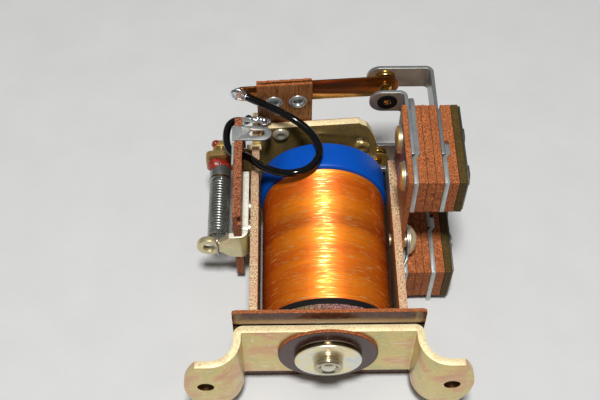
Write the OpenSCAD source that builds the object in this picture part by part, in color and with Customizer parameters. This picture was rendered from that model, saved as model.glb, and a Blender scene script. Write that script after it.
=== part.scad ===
// Open-frame electromagnetic relay with a clapper armature and two change-over contacts.
// X points right, Y runs along the coil away from the mounting ears, Z points up.
// The origin is midway between the two ear holes, on the plane that the ears rest on.

/* [Mounting bracket] */
// Width of the bracket's steel strip
strip_w = 19; // [17:0.5:21]
// Thickness of the bracket's steel strip
strip_t = 1.6; // [1:0.1:2]
// Depth of the bracket's hat, from the ears' front to the middle's back
hat_depth = 9.6; // [8.6:0.2:12]
// Distance between the two ear holes
hole_pitch = 52.4; // [51:0.2:54]
// Diameter of the ear holes
ear_hole_d = 3.6; // [2.6:0.1:4.4]
// Length of each ear beyond its hole
ear_end = 4.6; // [3.8:0.1:7]
// Outer radius of the bend between ear and leg
ear_bend_r = 6.5; // [4.5:0.1:7]
// Distance between the outer faces of the bracket's two legs
hat_w = 40.2; // [38.4:0.2:41.6]

/* [Insulating plate and centre washers] */
// Width of the insulating plate
plate_w = 40.6; // [36:0.2:48]
// Height of the insulating plate
plate_h = 30; // [28:0.5:30]
// Thickness of the insulating plate
plate_t = 0.8; // [0.5:0.1:1.5]
// Diameter of the fibre washer
fibre_washer_d = 21.7; // [17:0.1:25]
// Thickness of the fibre washer
fibre_washer_t = 0.85; // [0.5:0.05:1.2]
// Diameter of the steel washer
steel_washer_d = 14.7; // [10:0.1:17]
// Thickness of the steel washer
steel_washer_t = 1.5; // [0.8:0.1:1.8]
// Diameter of the round nut on the core's stud
core_nut_d = 6.3; // [5:0.1:9]
// Thickness of the round nut
core_nut_t = 1.8; // [1:0.1:2.2]

/* [Yoke] */
// Clearance between the blue rear cap and each of the yoke's arms
cap_clear = 0.15; // [0.05:0.05:0.6]
// Thickness of the yoke's steel
yoke_t = 1.8; // [1.2:0.1:2]
// Height of the yoke's arms
yoke_h = 19; // [15:0.5:22]
// Length of the right arm from the insulating plate
right_arm_l = 43.6; // [42:0.2:48]
// Length of the left arm's full-height part
left_arm_l = 41; // [37:0.2:43]
// Height of the tongue that carries the armature
tongue_h = 13; // [11.5:0.5:15]
// Length of the tongue behind the armature
tongue_tail = 9.2; // [5:0.2:11]

/* [Coil] */
// Diameter of the winding
winding_d = 28.8; // [24:0.2:29]
// Length of the winding
winding_l = 33.6; // [30:0.2:36]
// Diameter of the front flange
flange_d = 28.8; // [27:0.2:29]
// Thickness of the front flange
flange_t = 1.2; // [0.8:0.1:2]
// Diameter of the blue rear cap
cap_d = 29.9; // [28.8:0.1:30.4]
// Length of the blue rear cap
cap_l = 7; // [5:0.2:8]
// Diameter of the core
core_d = 9.5; // [7:0.1:11]
// Diameter of the core's stud
stud_d = 3.5; // [3:0.1:4.5]
// Diameter of the pole head
pole_d = 15.9; // [12:0.1:18]
// Thickness of the pole head
pole_t = 3.2; // [2:0.1:4]

/* [Armature] */
// Thickness of the armature
arm_t = 1.6; // [1.2:0.1:1.8]
// Height of the armature plate
arm_h = 25; // [22:0.5:25]
// Reach of the armature to the right of the coil axis
arm_right = 13.8; // [12:0.2:14]
// Height of the neck in the tongue's slot
neck_h = 9.2; // [7:0.2:9.6]
// Height of the tail that the return spring pulls
tail_h = 6.4; // [5:0.2:9]
// Reach of the tail to the left of the coil axis
tail_left = 28.4; // [27.6:0.2:29]
// Gap left between the pole head and the closed armature
pole_gap = 0.15; // [0.1:0.05:0.3]
// Angle by which the armature stands open at rest
open_angle = 3.7; // [3:0.1:4]

/* [Moving contacts] */
// Thickness of the insulating card behind the armature
card_t = 0.5; // [0.4:0.1:0.8]
// Thickness of each plate of the contact block
block_t = 0.7; // [0.5:0.1:0.9]
// Width of the contact block
block_w = 12.8; // [12:0.2:13.6]
// Height of the contact block's top edge above the coil axis
block_top = 25.2; // [24.5:0.1:26]
// Thickness of the blades
blade_t = 0.4; // [0.3:0.05:0.6]
// Height of the blades
blade_h = 6.4; // [5.6:0.1:6.4]
// Height of the upper pole's contacts above the coil axis
upper_z = 22; // [21.8:0.1:22.2]
// Depth of the lower pole's contacts below the coil axis
lower_z = 7; // [6.8:0.1:7.2]
// Distance of the contacts from the coil axis
contact_x = 14.5; // [14:0.1:15]
// Diameter of the moving contacts
contact_d = 3; // [2.4:0.1:3.6]
// Height of each moving contact on its blade
contact_h = 1; // [0.8:0.1:1.2]
// Clearance between a contact and the fixed one that it meets
contact_play = 0.05; // [0.02:0.01:0.1]

/* [Fixed contacts] */
// Thickness of the fixed contacts' brackets
bracket_t = 0.8; // [0.6:0.1:1]
// Height of the fixed contacts' brackets
bracket_h = 6.4; // [5.6:0.2:7]
// Height of the make contact's button
make_button_h = 0.9; // [0.6:0.1:1.2]
// Diameter of the make contact's button
make_button_d = 3.6; // [3:0.1:4.4]
// Height of the break contact's button
break_button_h = 1.2; // [0.8:0.1:1.6]
// Diameter of the break contact's button
break_button_d = 5; // [4:0.1:5.6]

/* [Contact stacks] */
// Thickness of the fibre carrier board
carrier_t = 1.2; // [1:0.1:1.3]
// Thickness of the make contact's terminal strip
make_strip_t = 1; // [0.6:0.1:1.1]
// Thickness of the fibre spacer next to the make contact
first_spacer_t = 1.2; // [1:0.1:1.6]
// Thickness of the second and third fibre spacer
spacer_t = 1.75; // [1.4:0.05:1.9]
// Thickness of the break contact's terminal strip
break_strip_t = 1; // [0.6:0.1:1.1]
// Thickness of the outer fibre spacer
cover_t = 1.3; // [1:0.1:2]
// Thickness of the clamp plate
clamp_t = 1.7; // [1.2:0.1:2]
// Thickness of the nut plate
nut_plate_t = 0.4; // [0.3:0.1:0.6]
// Height of each contact stack
stack_h = 11.1; // [10:0.1:11.2]
// Diameter of the stack screws' shafts
screw_d = 2.8; // [2:0.1:3]
// Diameter of the stack screws' heads
screw_head_d = 6.2; // [5.6:0.1:7.2]

/* [Terminal board and spring] */
// Thickness of the terminal board
board_t = 1.9; // [1.4:0.1:2.2]
// Length of the terminal board
board_l = 28.6; // [28:0.2:29.4]
// Thickness of the spring bracket
spring_bracket_t = 1.4; // [1:0.1:1.5]
// Thickness of the solder tags
tag_t = 0.5; // [0.4:0.05:0.7]
// Outer diameter of the return spring
spring_d = 5.1; // [4.4:0.1:5.4]
// Diameter of the spring's wire
wire_d = 0.57; // [0.4:0.01:0.6]
// Number of turns of the spring
spring_turns = 20; // [16:1:24]
// Diameter of the flexible lead
lead_d = 1.8; // [1.4:0.1:2]

/* [Hidden] */
$fn = 48;

// Clearances
fit = 0.15;
slot_fit = 0.15;
far = 60;

// The ears rest on Y 0, and everything behind follows the strip, the plate and the yoke
bend_inner = 0.4;
leg_x = hat_w / 2;
middle_y = hat_depth - strip_t;
ear_x = leg_x - strip_t + ear_bend_r;
ear_end_x = hole_pitch / 2 + ear_end;
ear_end_r = 17;
plate_y = hat_depth;
yoke_y = plate_y + plate_t;
flange_y = yoke_y + yoke_t;
winding_y = flange_y + flange_t;
cap_y = winding_y + winding_l;
cap_end_y = cap_y + cap_l;

// Yoke arms
arm_in_x = cap_d / 2 + cap_clear;
arm_x = arm_in_x + yoke_t;
yoke_bend_r = 2.2;
yoke_corner_r = 3;
right_end_y = yoke_y + right_arm_l;
left_end_y = yoke_y + left_arm_l;

// The armature closes just behind the pole head and hinges in the tongue's slot
pole_neck = 2.45;
pole_face_y = cap_end_y + pole_neck + pole_t;
arm_y = pole_face_y + pole_gap;
arm_back_y = arm_y + arm_t;
hinge_x = -(arm_x + arm_in_x) / 2;
hinge_y = arm_y + arm_t / 2;
neck_clear = 0.3;
neck_half = yoke_t / 2 + neck_clear;
arm_end_r = 21;
arm_corner_cut = 1.1;
tongue_end_y = arm_back_y + tongue_tail;

// Layers behind the armature, in its closed place
card_y = arm_back_y;
block_y = card_y + card_t;
blade_y = block_y + block_t;
block_rear_y = blade_y + blade_t;
block_right = -2.4;
block_left = block_right - block_w;
block_bottom = -12;
blade_tail_x = -20.6;
tail_w = 4.6;
blade_tip_x = contact_x + blade_h / 2;
block_step = 1.2;
eyelet_x = [block_left + 3.8, block_left + 9.4];
eyelet_drop = 2.8;
eyelet_d = 4.2;
eyelet_bore = 2.7;
eyelet_lip = 0.35;
dome_r = 4;

// A point of the closed armature, turned to where it stands at rest
function at_rest(x, y) = [
    hinge_x + (x - hinge_x) * cos(open_angle) - (y - hinge_y) * sin(open_angle),
    hinge_y + (x - hinge_x) * sin(open_angle) + (y - hinge_y) * cos(open_angle)
];

// Fixed contacts: the closed blade meets the make button, the resting one the break button
make_face_y = blade_y - contact_h - contact_play;
make_back_y = make_face_y - make_button_h;
make_front_y = make_back_y - bracket_t;
dome_rest = at_rest(contact_x, block_rear_y + contact_h - dome_r);
break_face_y = dome_rest[1] + dome_r + contact_play;
break_front_y = break_face_y + break_button_h;
break_back_y = break_front_y + bracket_t;
rest_x = dome_rest[0];

// Layers of both stacks, from the yoke's right arm outwards
carrier_x = arm_x;
make_leg_x = carrier_x + carrier_t;
make_strip_x = make_leg_x + bracket_t;
spacer_x = make_strip_x + make_strip_t;
spacer_end_x = spacer_x + first_spacer_t;
break_leg_x = spacer_end_x + 2 * spacer_t;
break_strip_x = break_leg_x + bracket_t;
cover_x = break_strip_x + break_strip_t;
clamp_x = cover_x + cover_t;
nut_plate_x = clamp_x + clamp_t;
nut_x = nut_plate_x + nut_plate_t;
nut_t = 1;
nut_d = 5;
stack_back = 54.7;
upper_front = 33.3;
lower_front = 28.5;
upper_bottom = upper_z - 5.8;
lower_bottom = -lower_z - 5.6;
upper_strip_back = 58.6;
upper_screw_y = [38.9, 49];
lower_screw_y = [39.8, 49];
screw_washer_t = 0.35;
screw_head_t = 0.85;
leg_end_y = 41;
joggle_y = leg_end_y - 0.1;
joggle_l = 1;
shoulder_y = stack_back - 1.2;
break_strip_back = 44.5;
make_corner_r = 4;
break_corner_r = 1.5;
lug_w = 2.6;

// Carrier screw
carrier_screw_y = 35;
carrier_screw_z = 2.3;
carrier_screw_d = 3;
carrier_head_d = 6.8;
carrier_head_t = 2.1;
formed_t = 0.45;

// Left side: terminal board, spring bracket and tags stand off the left arm
spring_bracket_x = -arm_x - 0.7 - spring_bracket_t;
board_x = spring_bracket_x - board_t;
board_h = arm_h + 0.4;
board_front = 35;
board_back = board_front + board_l;
tail_window_y = arm_y - 2.2;
tail_window_top = tail_h / 2 + 1.2;
ear_y = 34.8;
spring_x = -24.8;
spring_front = 38;
spring_back = 53.4;
bracket_half = 4.3;
bracket_bend_r = 2;
spring_bracket_back = 53.9;
lobe_x = -26.7;
lobe_hole_d = 3;
lobe_r = 2.9;
neck_z = 2;
slotted_tag_y = 58.2;
slotted_tag_w = 4.1;
slotted_tag_right = -12.1;
tag_slot = [-17.4, -13.7, 1.9];
tag_lip_front = 49.5;
tag_lip_h = 1.1;
solder_tag_y = 60.4;
solder_tag_w = 1.1;
solder_tag_rise = 2.3;
solder_tag_l = 5.2;
solder_tag_d = 2.2;
rivet_y = [40, 46];
rivet_d = 2.4;
rivet_head_d = 4.2;
rivet_head_t = 0.7;

// Where the lead leaves the blade, passes the board's hole and comes up to its tag
lead_hole = [54.5, 9.8];
lead_hole_d = 3.2;
lead_route = [
    [-17.8, 61.5, 22.4], [-15, 60.7, 21.4], [-12.4, 60.2, 20.2], [-9.6, 59.3, 19.1],
    [-7, 58.3, 18.1], [-4.8, 56.8, 17.5], [-3, 55, 17], [-1.7, 52.8, 16.8],
    [-1.1, 50.6, 16.6], [-1.4, 48.4, 16.5], [-2.7, 46.2, 16.5], [-4.5, 44.8, 16.5],
    [-6.8, 44.1, 16.5], [-9.2, 44.4, 16], [-11.9, 45.9, 15], [-14.3, 48.1, 13.6],
    [-16, 50.5, 12.2], [-17.2, 52.6, 10.9], [-18.6, 53.9, 10], [-20.2, 54.3, 9.8],
    [-21.4, 55.1, 9.6], [-22.3, 56.5, 9.4], [-22.8, 58.3, 9.1], [-23, 60.3, 8.8],
    [-22.9, 62.3, 8.8], [-22.4, 64, 8.9], [-21.4, 65.1, 8.9], [-20.1, 65.4, 8.9],
    [-18.9, 64.9, 9.2], [-18.2, 64, 10.4], [-17.8, 63, 12], [-17.5, 62.2, 13.6]
];

// A bar along Y or X with its axis through the given point
module along_y(x, z, y0, y1, d) {
    translate([x, y0, z]) rotate([-90, 0, 0]) cylinder(d = d, h = y1 - y0);
}
module along_x(y, z, x0, x1, d) {
    translate([x0, y, z]) rotate([0, 90, 0]) cylinder(d = d, h = x1 - x0);
}

// A flat outline in X and Z, thick along Y
module plate_y(y, t) {
    translate([0, y + t, 0]) rotate([90, 0, 0]) linear_extrude(t) children();
}

// A flat outline in Y and Z, thick along X
module plate_x(x, t) {
    translate([x, 0, 0]) rotate([90, 0, 90]) linear_extrude(t) children();
}

// A rectangle given by its low and high corners
module box2(x0, x1, y0, y1) {
    translate([x0, y0]) square([x1 - x0, y1 - y0]);
}

// A rectangle whose four corners are rounded by true arcs
module round_box(x0, x1, y0, y1, r) {
    box2(x0 + r, x1 - r, y0, y1);
    box2(x0, x1, y0 + r, y1 - r);
    for (x = [x0 + r, x1 - r], y = [y0 + r, y1 - r]) translate([x, y]) circle(r);
}

// A strip along X whose left end, right end or both are full rounds
module tab(x0, x1, z0, z1, left = true, right = true) {
    r = (z1 - z0) / 2;
    box2(left ? x0 + r : x0, right ? x1 - r : x1, z0, z1);
    if (left) translate([x0 + r, (z0 + z1) / 2]) circle(r);
    if (right) translate([x1 - r, (z0 + z1) / 2]) circle(r);
}

// A quarter ring round a bend's centre, in the quadrant of the given signs
module bend(x, y, r_in, r_out, sx, sy) {
    translate([x, y]) intersection() {
        difference() {
            circle(r_out);
            circle(r_in);
        }
        box2(sx < 0 ? -r_out : 0, sx < 0 ? 0 : r_out, sy < 0 ? -r_out : 0, sy < 0 ? 0 : r_out);
    }
}

// Places what is built in the armature's closed frame where it stands at rest
module resting() {
    translate([hinge_x, hinge_y, 0])
        rotate([0, 0, open_angle])
            translate([-hinge_x, -hinge_y, 0])
                children();
}

// A low domed contact whose foot is on the given face and whose top points along +Y or -Y
module domed_contact(x, z, foot_y, h, way) {
    translate([x, foot_y, z]) rotate([way > 0 ? -90 : 90, 0, 0]) intersection() {
        cylinder(d = contact_d, h = h);
        translate([0, 0, h - dome_r]) sphere(r = dome_r, $fn = 96);
    }
}

// Frames that don't twist along a path, for sweeping a round wire
function unit(v) = v / norm(v);
function tangent(p, i) = unit(p[min(i + 1, len(p) - 1)] - p[max(i - 1, 0)]);
function normals(p, i = 0, n = [0, 0, 1], done = []) =
    i == len(p) ? done
    : let (t = tangent(p, i), m = unit(n - (n * t) * t))
        normals(p, i + 1, m, concat(done, [m]));

module swept_wire(path, d, sides) {
    n = normals(path, 0, unit(cross(tangent(path, 0), [0.3, 0.2, 1])));
    count = len(path);
    points = [
        for (i = [0 : count - 1]) let (t = tangent(path, i), u = n[i], v = cross(t, u))
            for (k = [0 : sides - 1])
                path[i] + d / 2 * (cos(360 * k / sides) * u + sin(360 * k / sides) * v)
    ];
    side_faces = [
        for (i = [0 : count - 2], k = [0 : sides - 1]) let (j = (k + 1) % sides)
            [i * sides + j, i * sides + k, (i + 1) * sides + k, (i + 1) * sides + j]
    ];
    first = [for (k = [0 : sides - 1]) k];
    last = [for (k = [sides - 1 : -1 : 0]) (count - 1) * sides + k];
    polyhedron(points, concat(side_faces, [first, last]), convexity = 10);
}

module mounting_bracket() {
    color("#c8bd8e") difference() {
        intersection() {
            translate([0, 0, -strip_w / 2]) linear_extrude(strip_w) {
                box2(-leg_x + strip_t + bend_inner, leg_x - strip_t - bend_inner, middle_y, hat_depth);
                for (side = [0, 1]) mirror([side, 0]) {
                    bend(leg_x - strip_t - bend_inner, middle_y - bend_inner,
                         bend_inner, bend_inner + strip_t, 1, 1);
                    box2(leg_x - strip_t, leg_x, ear_bend_r, middle_y - bend_inner);
                    bend(ear_x, ear_bend_r, ear_bend_r - strip_t, ear_bend_r, -1, -1);
                    box2(ear_x, ear_end_x, 0, strip_t);
                }
            }
            plate_y(-1, hat_depth + 2) bracket_outline();
        }
        for (side = [-1, 1]) along_y(side * hole_pitch / 2, 0, -1, strip_t + 1, ear_hole_d);
        along_y(0, 0, middle_y - 1, hat_depth + 1, stud_d + 2 * fit);
    }
}

// Seen from the front the strip is straight and its ends are shallow arcs
module bracket_outline() {
    intersection() {
        round_box(-ear_end_x, ear_end_x, -strip_w / 2, strip_w / 2, 1.2);
        for (side = [0, 1]) mirror([side, 0]) {
            box2(-0.1, ear_end_x - ear_end_r, -strip_w / 2, strip_w / 2);
            intersection() {
                translate([ear_end_x - ear_end_r, 0]) circle(ear_end_r, $fn = 96);
                box2(0, ear_end_x, -strip_w, strip_w);
            }
        }
    }
}

module insulating_plate() {
    color("#7a4a3c") difference() {
        plate_y(plate_y, plate_t) round_box(-plate_w / 2, plate_w / 2, -plate_h / 2, plate_h / 2, 0.8);
        along_y(0, 0, plate_y - 1, plate_y + plate_t + 1, stud_d + 2 * fit);
    }
}

module fibre_washer() {
    color("#4a1f22") difference() {
        along_y(0, 0, middle_y - fibre_washer_t, middle_y, fibre_washer_d);
        along_y(0, 0, middle_y - fibre_washer_t - 1, middle_y + 1, stud_d + 2 * fit);
    }
}

module steel_washer() {
    y = middle_y - fibre_washer_t - steel_washer_t;
    color("#c9c6bd") difference() {
        along_y(0, 0, y, y + steel_washer_t, steel_washer_d);
        along_y(0, 0, y - 1, y + steel_washer_t + 1, stud_d + 2 * fit);
    }
}

core_nut_y = middle_y - fibre_washer_t - steel_washer_t - core_nut_t;
stud_rise = 0.2;

module core_nut() {
    color("#b5b2a8") difference() {
        along_y(0, 0, core_nut_y, core_nut_y + core_nut_t, core_nut_d);
        along_y(0, 0, core_nut_y - 1, core_nut_y + core_nut_t + 1, stud_d);
    }
}

module core() {
    color("#8d8d8d") {
        along_y(0, 0, core_nut_y - stud_rise, flange_y + 1, stud_d);
        along_y(0, 0, flange_y, pole_face_y - pole_t, core_d);
        along_y(0, 0, pole_face_y - pole_t, pole_face_y, pole_d);
    }
}

module yoke() {
    color("#c9bf95") difference() {
        union() {
            translate([0, 0, -yoke_h / 2]) linear_extrude(yoke_h) {
                box2(-arm_x + yoke_bend_r, arm_x - yoke_bend_r, yoke_y, yoke_y + yoke_t);
                for (side = [0, 1]) mirror([side, 0])
                    bend(arm_x - yoke_bend_r, yoke_y + yoke_bend_r,
                         yoke_bend_r - yoke_t, yoke_bend_r, 1, -1);
            }
            plate_x(arm_in_x, yoke_t) arm_outline(right_end_y, yoke_corner_r);
            plate_x(-arm_x, yoke_t) {
                arm_outline(left_end_y, yoke_corner_r);
                tongue_outline();
            }
        }
        along_y(0, 0, yoke_y - 1, flange_y + 1, stud_d + 2 * fit);
        along_x(carrier_screw_y, carrier_screw_z, arm_in_x - 1, arm_x + 1, carrier_screw_d);
        for (y = lower_screw_y) along_x(y, -lower_z, arm_in_x - 1, arm_x + 1, screw_d);
        for (y = rivet_y) along_x(y, 0, -arm_x - 1, -arm_in_x + 1, rivet_d);
    }
}

// Side view of an arm from the yoke's bend to its rounded rear corners
module arm_outline(end_y, r) {
    start = yoke_y + yoke_bend_r;
    box2(start, end_y - r, -yoke_h / 2, yoke_h / 2);
    box2(start, end_y, -yoke_h / 2 + r, yoke_h / 2 - r);
    for (z = [-1, 1]) translate([end_y - r, z * (yoke_h / 2 - r)]) circle(r);
}

// The tongue has a slot open at the top, in which the armature's neck rocks
module tongue_outline() {
    difference() {
        round_box(left_end_y - 6, tongue_end_y, -tongue_h / 2, tongue_h / 2, 1.5);
        box2(arm_y - slot_fit, arm_back_y + slot_fit, -neck_h / 2 - slot_fit, tongue_h);
    }
}

module bobbin() {
    color("#161616") difference() {
        union() {
            along_y(0, 0, flange_y, winding_y, flange_d);
            along_y(0, 0, flange_y, cap_end_y, core_d + 2.6);
        }
        along_y(0, 0, flange_y - 1, cap_end_y + 1, core_d + 0.1);
    }
}

module winding() {
    color("#d9821f") difference() {
        along_y(0, 0, winding_y, cap_y, winding_d);
        along_y(0, 0, winding_y - 1, cap_y + 1, core_d + 2.7);
    }
}

module rear_cap() {
    color("#0a5ac8") difference() {
        along_y(0, 0, cap_y, cap_end_y, cap_d);
        along_y(0, 0, cap_y - 1, cap_end_y + 1, core_d + 2.7);
    }
}

solder_tag_z = board_h / 2 + solder_tag_rise;

// The board is cut away below and behind so that the armature's tail swings free of it
module terminal_board() {
    color("#9a5233") difference() {
        plate_x(board_x, board_t) round_box(board_front, board_back, -board_h / 2, board_h / 2, 0.6);
        plate_x(board_x - 1, board_t + 2) box2(tail_window_y, far * 2, -far, tail_window_top);
        plate_x(board_x - 1, board_t + 2) box2(board_front - 1, ear_y + 2.1, -4.6, 4.6);
        along_x(lead_hole[0], lead_hole[1], board_x - 1, board_x + board_t + 1, lead_hole_d);
        for (y = rivet_y) along_x(y, 0, board_x - 1, board_x + board_t + 1, rivet_d);
    }
}

// The spring's hook lies in the neck between the ear's wide face and its drilled lobe
module spring_bracket() {
    x1 = spring_bracket_x + spring_bracket_t;
    color("#c8bd8e") difference() {
        union() {
            plate_x(spring_bracket_x, spring_bracket_t)
                round_box(ear_y + bracket_bend_r, spring_bracket_back, -bracket_half, bracket_half, 0.8);
            translate([0, 0, -bracket_half]) linear_extrude(2 * bracket_half)
                bend(x1 - bracket_bend_r, ear_y + bracket_bend_r,
                     bracket_bend_r - spring_bracket_t, bracket_bend_r, 1, -1);
            plate_y(ear_y, spring_bracket_t) spring_ear();
        }
        along_y(lobe_x, 0, ear_y - 1, ear_y + spring_bracket_t + 1, lobe_hole_d);
        for (y = rivet_y) along_x(y, 0, spring_bracket_x - 1, x1 + 1, rivet_d);
    }
}

module spring_ear() {
    x1 = spring_bracket_x + spring_bracket_t - bracket_bend_r;
    polygon([[x1, -bracket_half], [x1, bracket_half], [-22, 4], [spring_x + 0.6, neck_z],
             [spring_x - 0.7, neck_z], [spring_x - 0.7, -neck_z], [spring_x + 0.6, -neck_z], [-22, -4]]);
    translate([lobe_x, 0]) circle(lobe_r);
}

// Two alike, at the board's top and bottom edges, for the ends of the coil
module slotted_tags() {
    z0 = board_h / 2;
    half = slotted_tag_w / 2;
    color("#b9bec2") for (side = [0, 1]) mirror([0, 0, side]) {
        difference() {
            translate([0, 0, z0]) linear_extrude(tag_t) translate([0, slotted_tag_y])
                tab(board_x - tag_t, slotted_tag_right, -half, half, false, true);
            translate([0, 0, z0 - 1]) linear_extrude(3) translate([0, slotted_tag_y])
                tab(tag_slot[0], tag_slot[1], -tag_slot[2] / 2, tag_slot[2] / 2);
        }
        plate_x(board_x - tag_t, tag_t) {
            box2(slotted_tag_y - half + 0.9, slotted_tag_y + half, tail_window_top, z0);
            box2(tag_lip_front, slotted_tag_y, z0 - tag_lip_h, z0);
        }
    }
}

module soldered_tag() {
    x0 = board_x + board_t;
    color("#b9bec2") {
        translate([x0, solder_tag_y, tail_window_top])
            cube([tag_t, solder_tag_w, solder_tag_z - tail_window_top]);
        translate([x0, solder_tag_y, solder_tag_z - tag_t]) cube([solder_tag_l, solder_tag_w, tag_t]);
        translate([x0 + solder_tag_l, solder_tag_y + 0.2, solder_tag_z - tag_t / 2])
            sphere(d = solder_tag_d);
    }
}

module board_rivets() {
    head = board_x - rivet_head_t;
    color("#b0ada2") for (y = rivet_y) {
        along_x(y, 0, head, -arm_in_x, rivet_d);
        along_x(y, 0, head, board_x, rivet_head_d);
        along_x(y, 0, spring_bracket_x + spring_bracket_t, -arm_x, rivet_head_d);
    }
}

// One fibre sheet carries both stacks and is screwed to the yoke's right arm
module contact_carrier() {
    top = upper_bottom + stack_h;
    color("#8e4a33") difference() {
        plate_x(carrier_x, carrier_t) {
            box2(upper_front, stack_back, carrier_screw_z + 3, top);
            box2(carrier_screw_y + 1.5, stack_back, lower_bottom, carrier_screw_z + 4);
            translate([carrier_screw_y, carrier_screw_z]) circle(3.2);
        }
        for (y = upper_screw_y) along_x(y, upper_z, carrier_x - 1, make_leg_x + 1, screw_d);
        for (y = lower_screw_y) along_x(y, -lower_z, carrier_x - 1, make_leg_x + 1, screw_d);
        along_x(carrier_screw_y, carrier_screw_z, carrier_x - 1, make_leg_x + 1, carrier_screw_d);
    }
}

carrier_head_x = make_leg_x + formed_t;

module carrier_screw() {
    color("#cfc79c") difference() {
        union() {
            along_x(carrier_screw_y, carrier_screw_z,
                    arm_in_x - 0.3, carrier_head_x + 0.2, carrier_screw_d);
            translate([carrier_head_x, carrier_screw_y, carrier_screw_z]) rotate([0, 90, 0])
                intersection() {
                    cylinder(d = carrier_head_d, h = carrier_head_t);
                    translate([0, 0, carrier_head_t - 4.2]) sphere(r = 4.2, $fn = 96);
                }
        }
        plate_x(carrier_head_x + carrier_head_t - 0.9, 2)
            box2(carrier_screw_y - 5, carrier_screw_y + 5, carrier_screw_z - 0.45, carrier_screw_z + 0.45);
    }
}

// Thin tin washer with a tail that leads down and forward and is bent in at its end
module formed_washer() {
    color("#c6cbcf") difference() {
        union() {
            along_x(carrier_screw_y, carrier_screw_z, make_leg_x, carrier_head_x, 7.4);
            translate([make_leg_x, carrier_screw_y, carrier_screw_z]) rotate([212, 0, 0])
                translate([0, 0, -1.1]) linear_extrude(2.2)
                    polygon([[0, 2.5], [0, 4.4], [-0.9, 7.2], [-0.6, 7.5],
                             [formed_t, 4.5], [formed_t, 2.5]]);
        }
        along_x(carrier_screw_y, carrier_screw_z, make_leg_x - 1, carrier_head_x + 1, carrier_screw_d);
    }
}

// Front plate with a round left end and a leg that is as high as the stack inside it
module fixed_bracket(z, front_y, left_x, leg_x0, hole_d, button_x, bottom) {
    outer_r = 1.8;
    corner_x = leg_x0 + bracket_t - outer_r;
    z0 = z - bracket_h / 2;
    difference() {
        union() {
            plate_y(front_y, bracket_t) tab(left_x, corner_x, z0, z0 + bracket_h, true, false);
            translate([0, 0, z0]) linear_extrude(bracket_h)
                bend(corner_x, front_y + bracket_t - outer_r, outer_r - bracket_t, outer_r, 1, 1);
            plate_x(leg_x0, bracket_t) {
                box2(leg_end_y, front_y + bracket_t - outer_r, z0, z0 + bracket_h);
                box2(leg_end_y, shoulder_y, bottom, bottom + stack_h);
            }
        }
        along_y(button_x, z, front_y - 1, front_y + bracket_t + 1, hole_d);
    }
}

button_shank = 2.1;

module make_bracket(z, screws, bottom) {
    color("#aeb4b8") difference() {
        fixed_bracket(z, make_front_y, contact_x - 4.1, make_leg_x, button_shank, contact_x, bottom);
        for (y = screws) along_x(y, z, make_leg_x - 1, make_strip_x + 1, screw_d);
    }
}

module break_bracket(z, screws, bottom) {
    color("#aeb4b8") difference() {
        fixed_bracket(z, break_front_y, contact_x - 4.3, break_leg_x, button_shank, rest_x, bottom);
        for (y = screws) along_x(y, z, break_leg_x - 1, break_strip_x + 1, screw_d);
    }
}

module make_button(z) {
    color("#b8954a") {
        along_y(contact_x, z, make_front_y - 0.2, make_back_y, button_shank);
        along_y(contact_x, z, make_back_y, make_face_y, make_button_d);
    }
}

module break_button(z) {
    color("#b8954a") {
        along_y(rest_x, z, break_face_y, break_front_y, break_button_d);
        along_y(rest_x, z, break_front_y, break_back_y + 0.3, button_shank);
    }
}

// One layer of a stack with the two holes of its screws
module layer(x, t, front, back, bottom, screws, z) {
    difference() {
        plate_x(x, t) box2(front, back, bottom, bottom + stack_h);
        for (y = screws) along_x(y, z, x - 1, x + t + 1, screw_d);
    }
}

// A strip seen from above: outside the bracket's leg behind its joggle, in line with the leg in front
module strip_section(x, t, front, back) {
    polygon([[x, front], [x + t, front], [x + t, joggle_y - joggle_l], [x + bracket_t + t, joggle_y],
             [x + bracket_t + t, back], [x + bracket_t, back], [x + bracket_t, joggle_y],
             [x, joggle_y - joggle_l]]);
}

// Terminal strip with a rounded upper rear corner and a lug at its lower front end
module terminal_strip(x, t, front, back, corner_r, bottom, screws, z, lug_z) {
    top = bottom + stack_h;
    color("#c3c8cb") difference() {
        intersection() {
            translate([0, 0, lug_z]) linear_extrude(top - lug_z) strip_section(x, t, front, back);
            plate_x(x - 1, bracket_t + t + 2) {
                box2(front - 1, back - corner_r, bottom, top);
                box2(back - corner_r - 1, back + 1, bottom, top - corner_r);
                translate([back - corner_r, top - corner_r]) circle(corner_r);
                box2(front - 1, front + lug_w, lug_z - 1, bottom + 1);
            }
        }
        for (y = screws) along_x(y, z, x - 1, x + bracket_t + t + 1, screw_d);
    }
}

module make_strip(front, bottom, screws, z, lug_z, back) {
    terminal_strip(make_leg_x, make_strip_t, front, back, make_corner_r, bottom, screws, z, lug_z);
}

module break_strip(front, bottom, screws, z, lug_z) {
    terminal_strip(break_leg_x, break_strip_t, front, break_strip_back, break_corner_r,
                   bottom, screws, z, lug_z);
}

// The fibre next to a strip follows its joggle
module shaped_layer(front, bottom, screws, z, x0, x1) {
    difference() {
        translate([0, 0, bottom]) linear_extrude(stack_h) children();
        for (y = screws) along_x(y, z, x0 - 1, x1 + 1, screw_d);
    }
}

module spacers(front, bottom, screws, z) {
    near = make_leg_x + make_strip_t;
    color("#a5603c") {
        shaped_layer(front, bottom, screws, z, near, spacer_end_x)
            polygon([[near, front], [spacer_end_x, front], [spacer_end_x, stack_back],
                     [spacer_x, stack_back], [spacer_x, joggle_y], [near, joggle_y - joggle_l]]);
        for (i = [0, 1])
            layer(spacer_end_x + i * spacer_t, spacer_t, front, stack_back, bottom, screws, z);
    }
}

module cover(front, bottom, screws, z) {
    near = break_leg_x + break_strip_t;
    color("#a5603c") shaped_layer(front, bottom, screws, z, break_leg_x, clamp_x)
        polygon([[near, front], [clamp_x, front], [clamp_x, stack_back], [break_strip_x, stack_back],
                 [break_strip_x, break_strip_back], [cover_x, break_strip_back],
                 [cover_x, joggle_y], [near, joggle_y - joggle_l]]);
}

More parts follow.
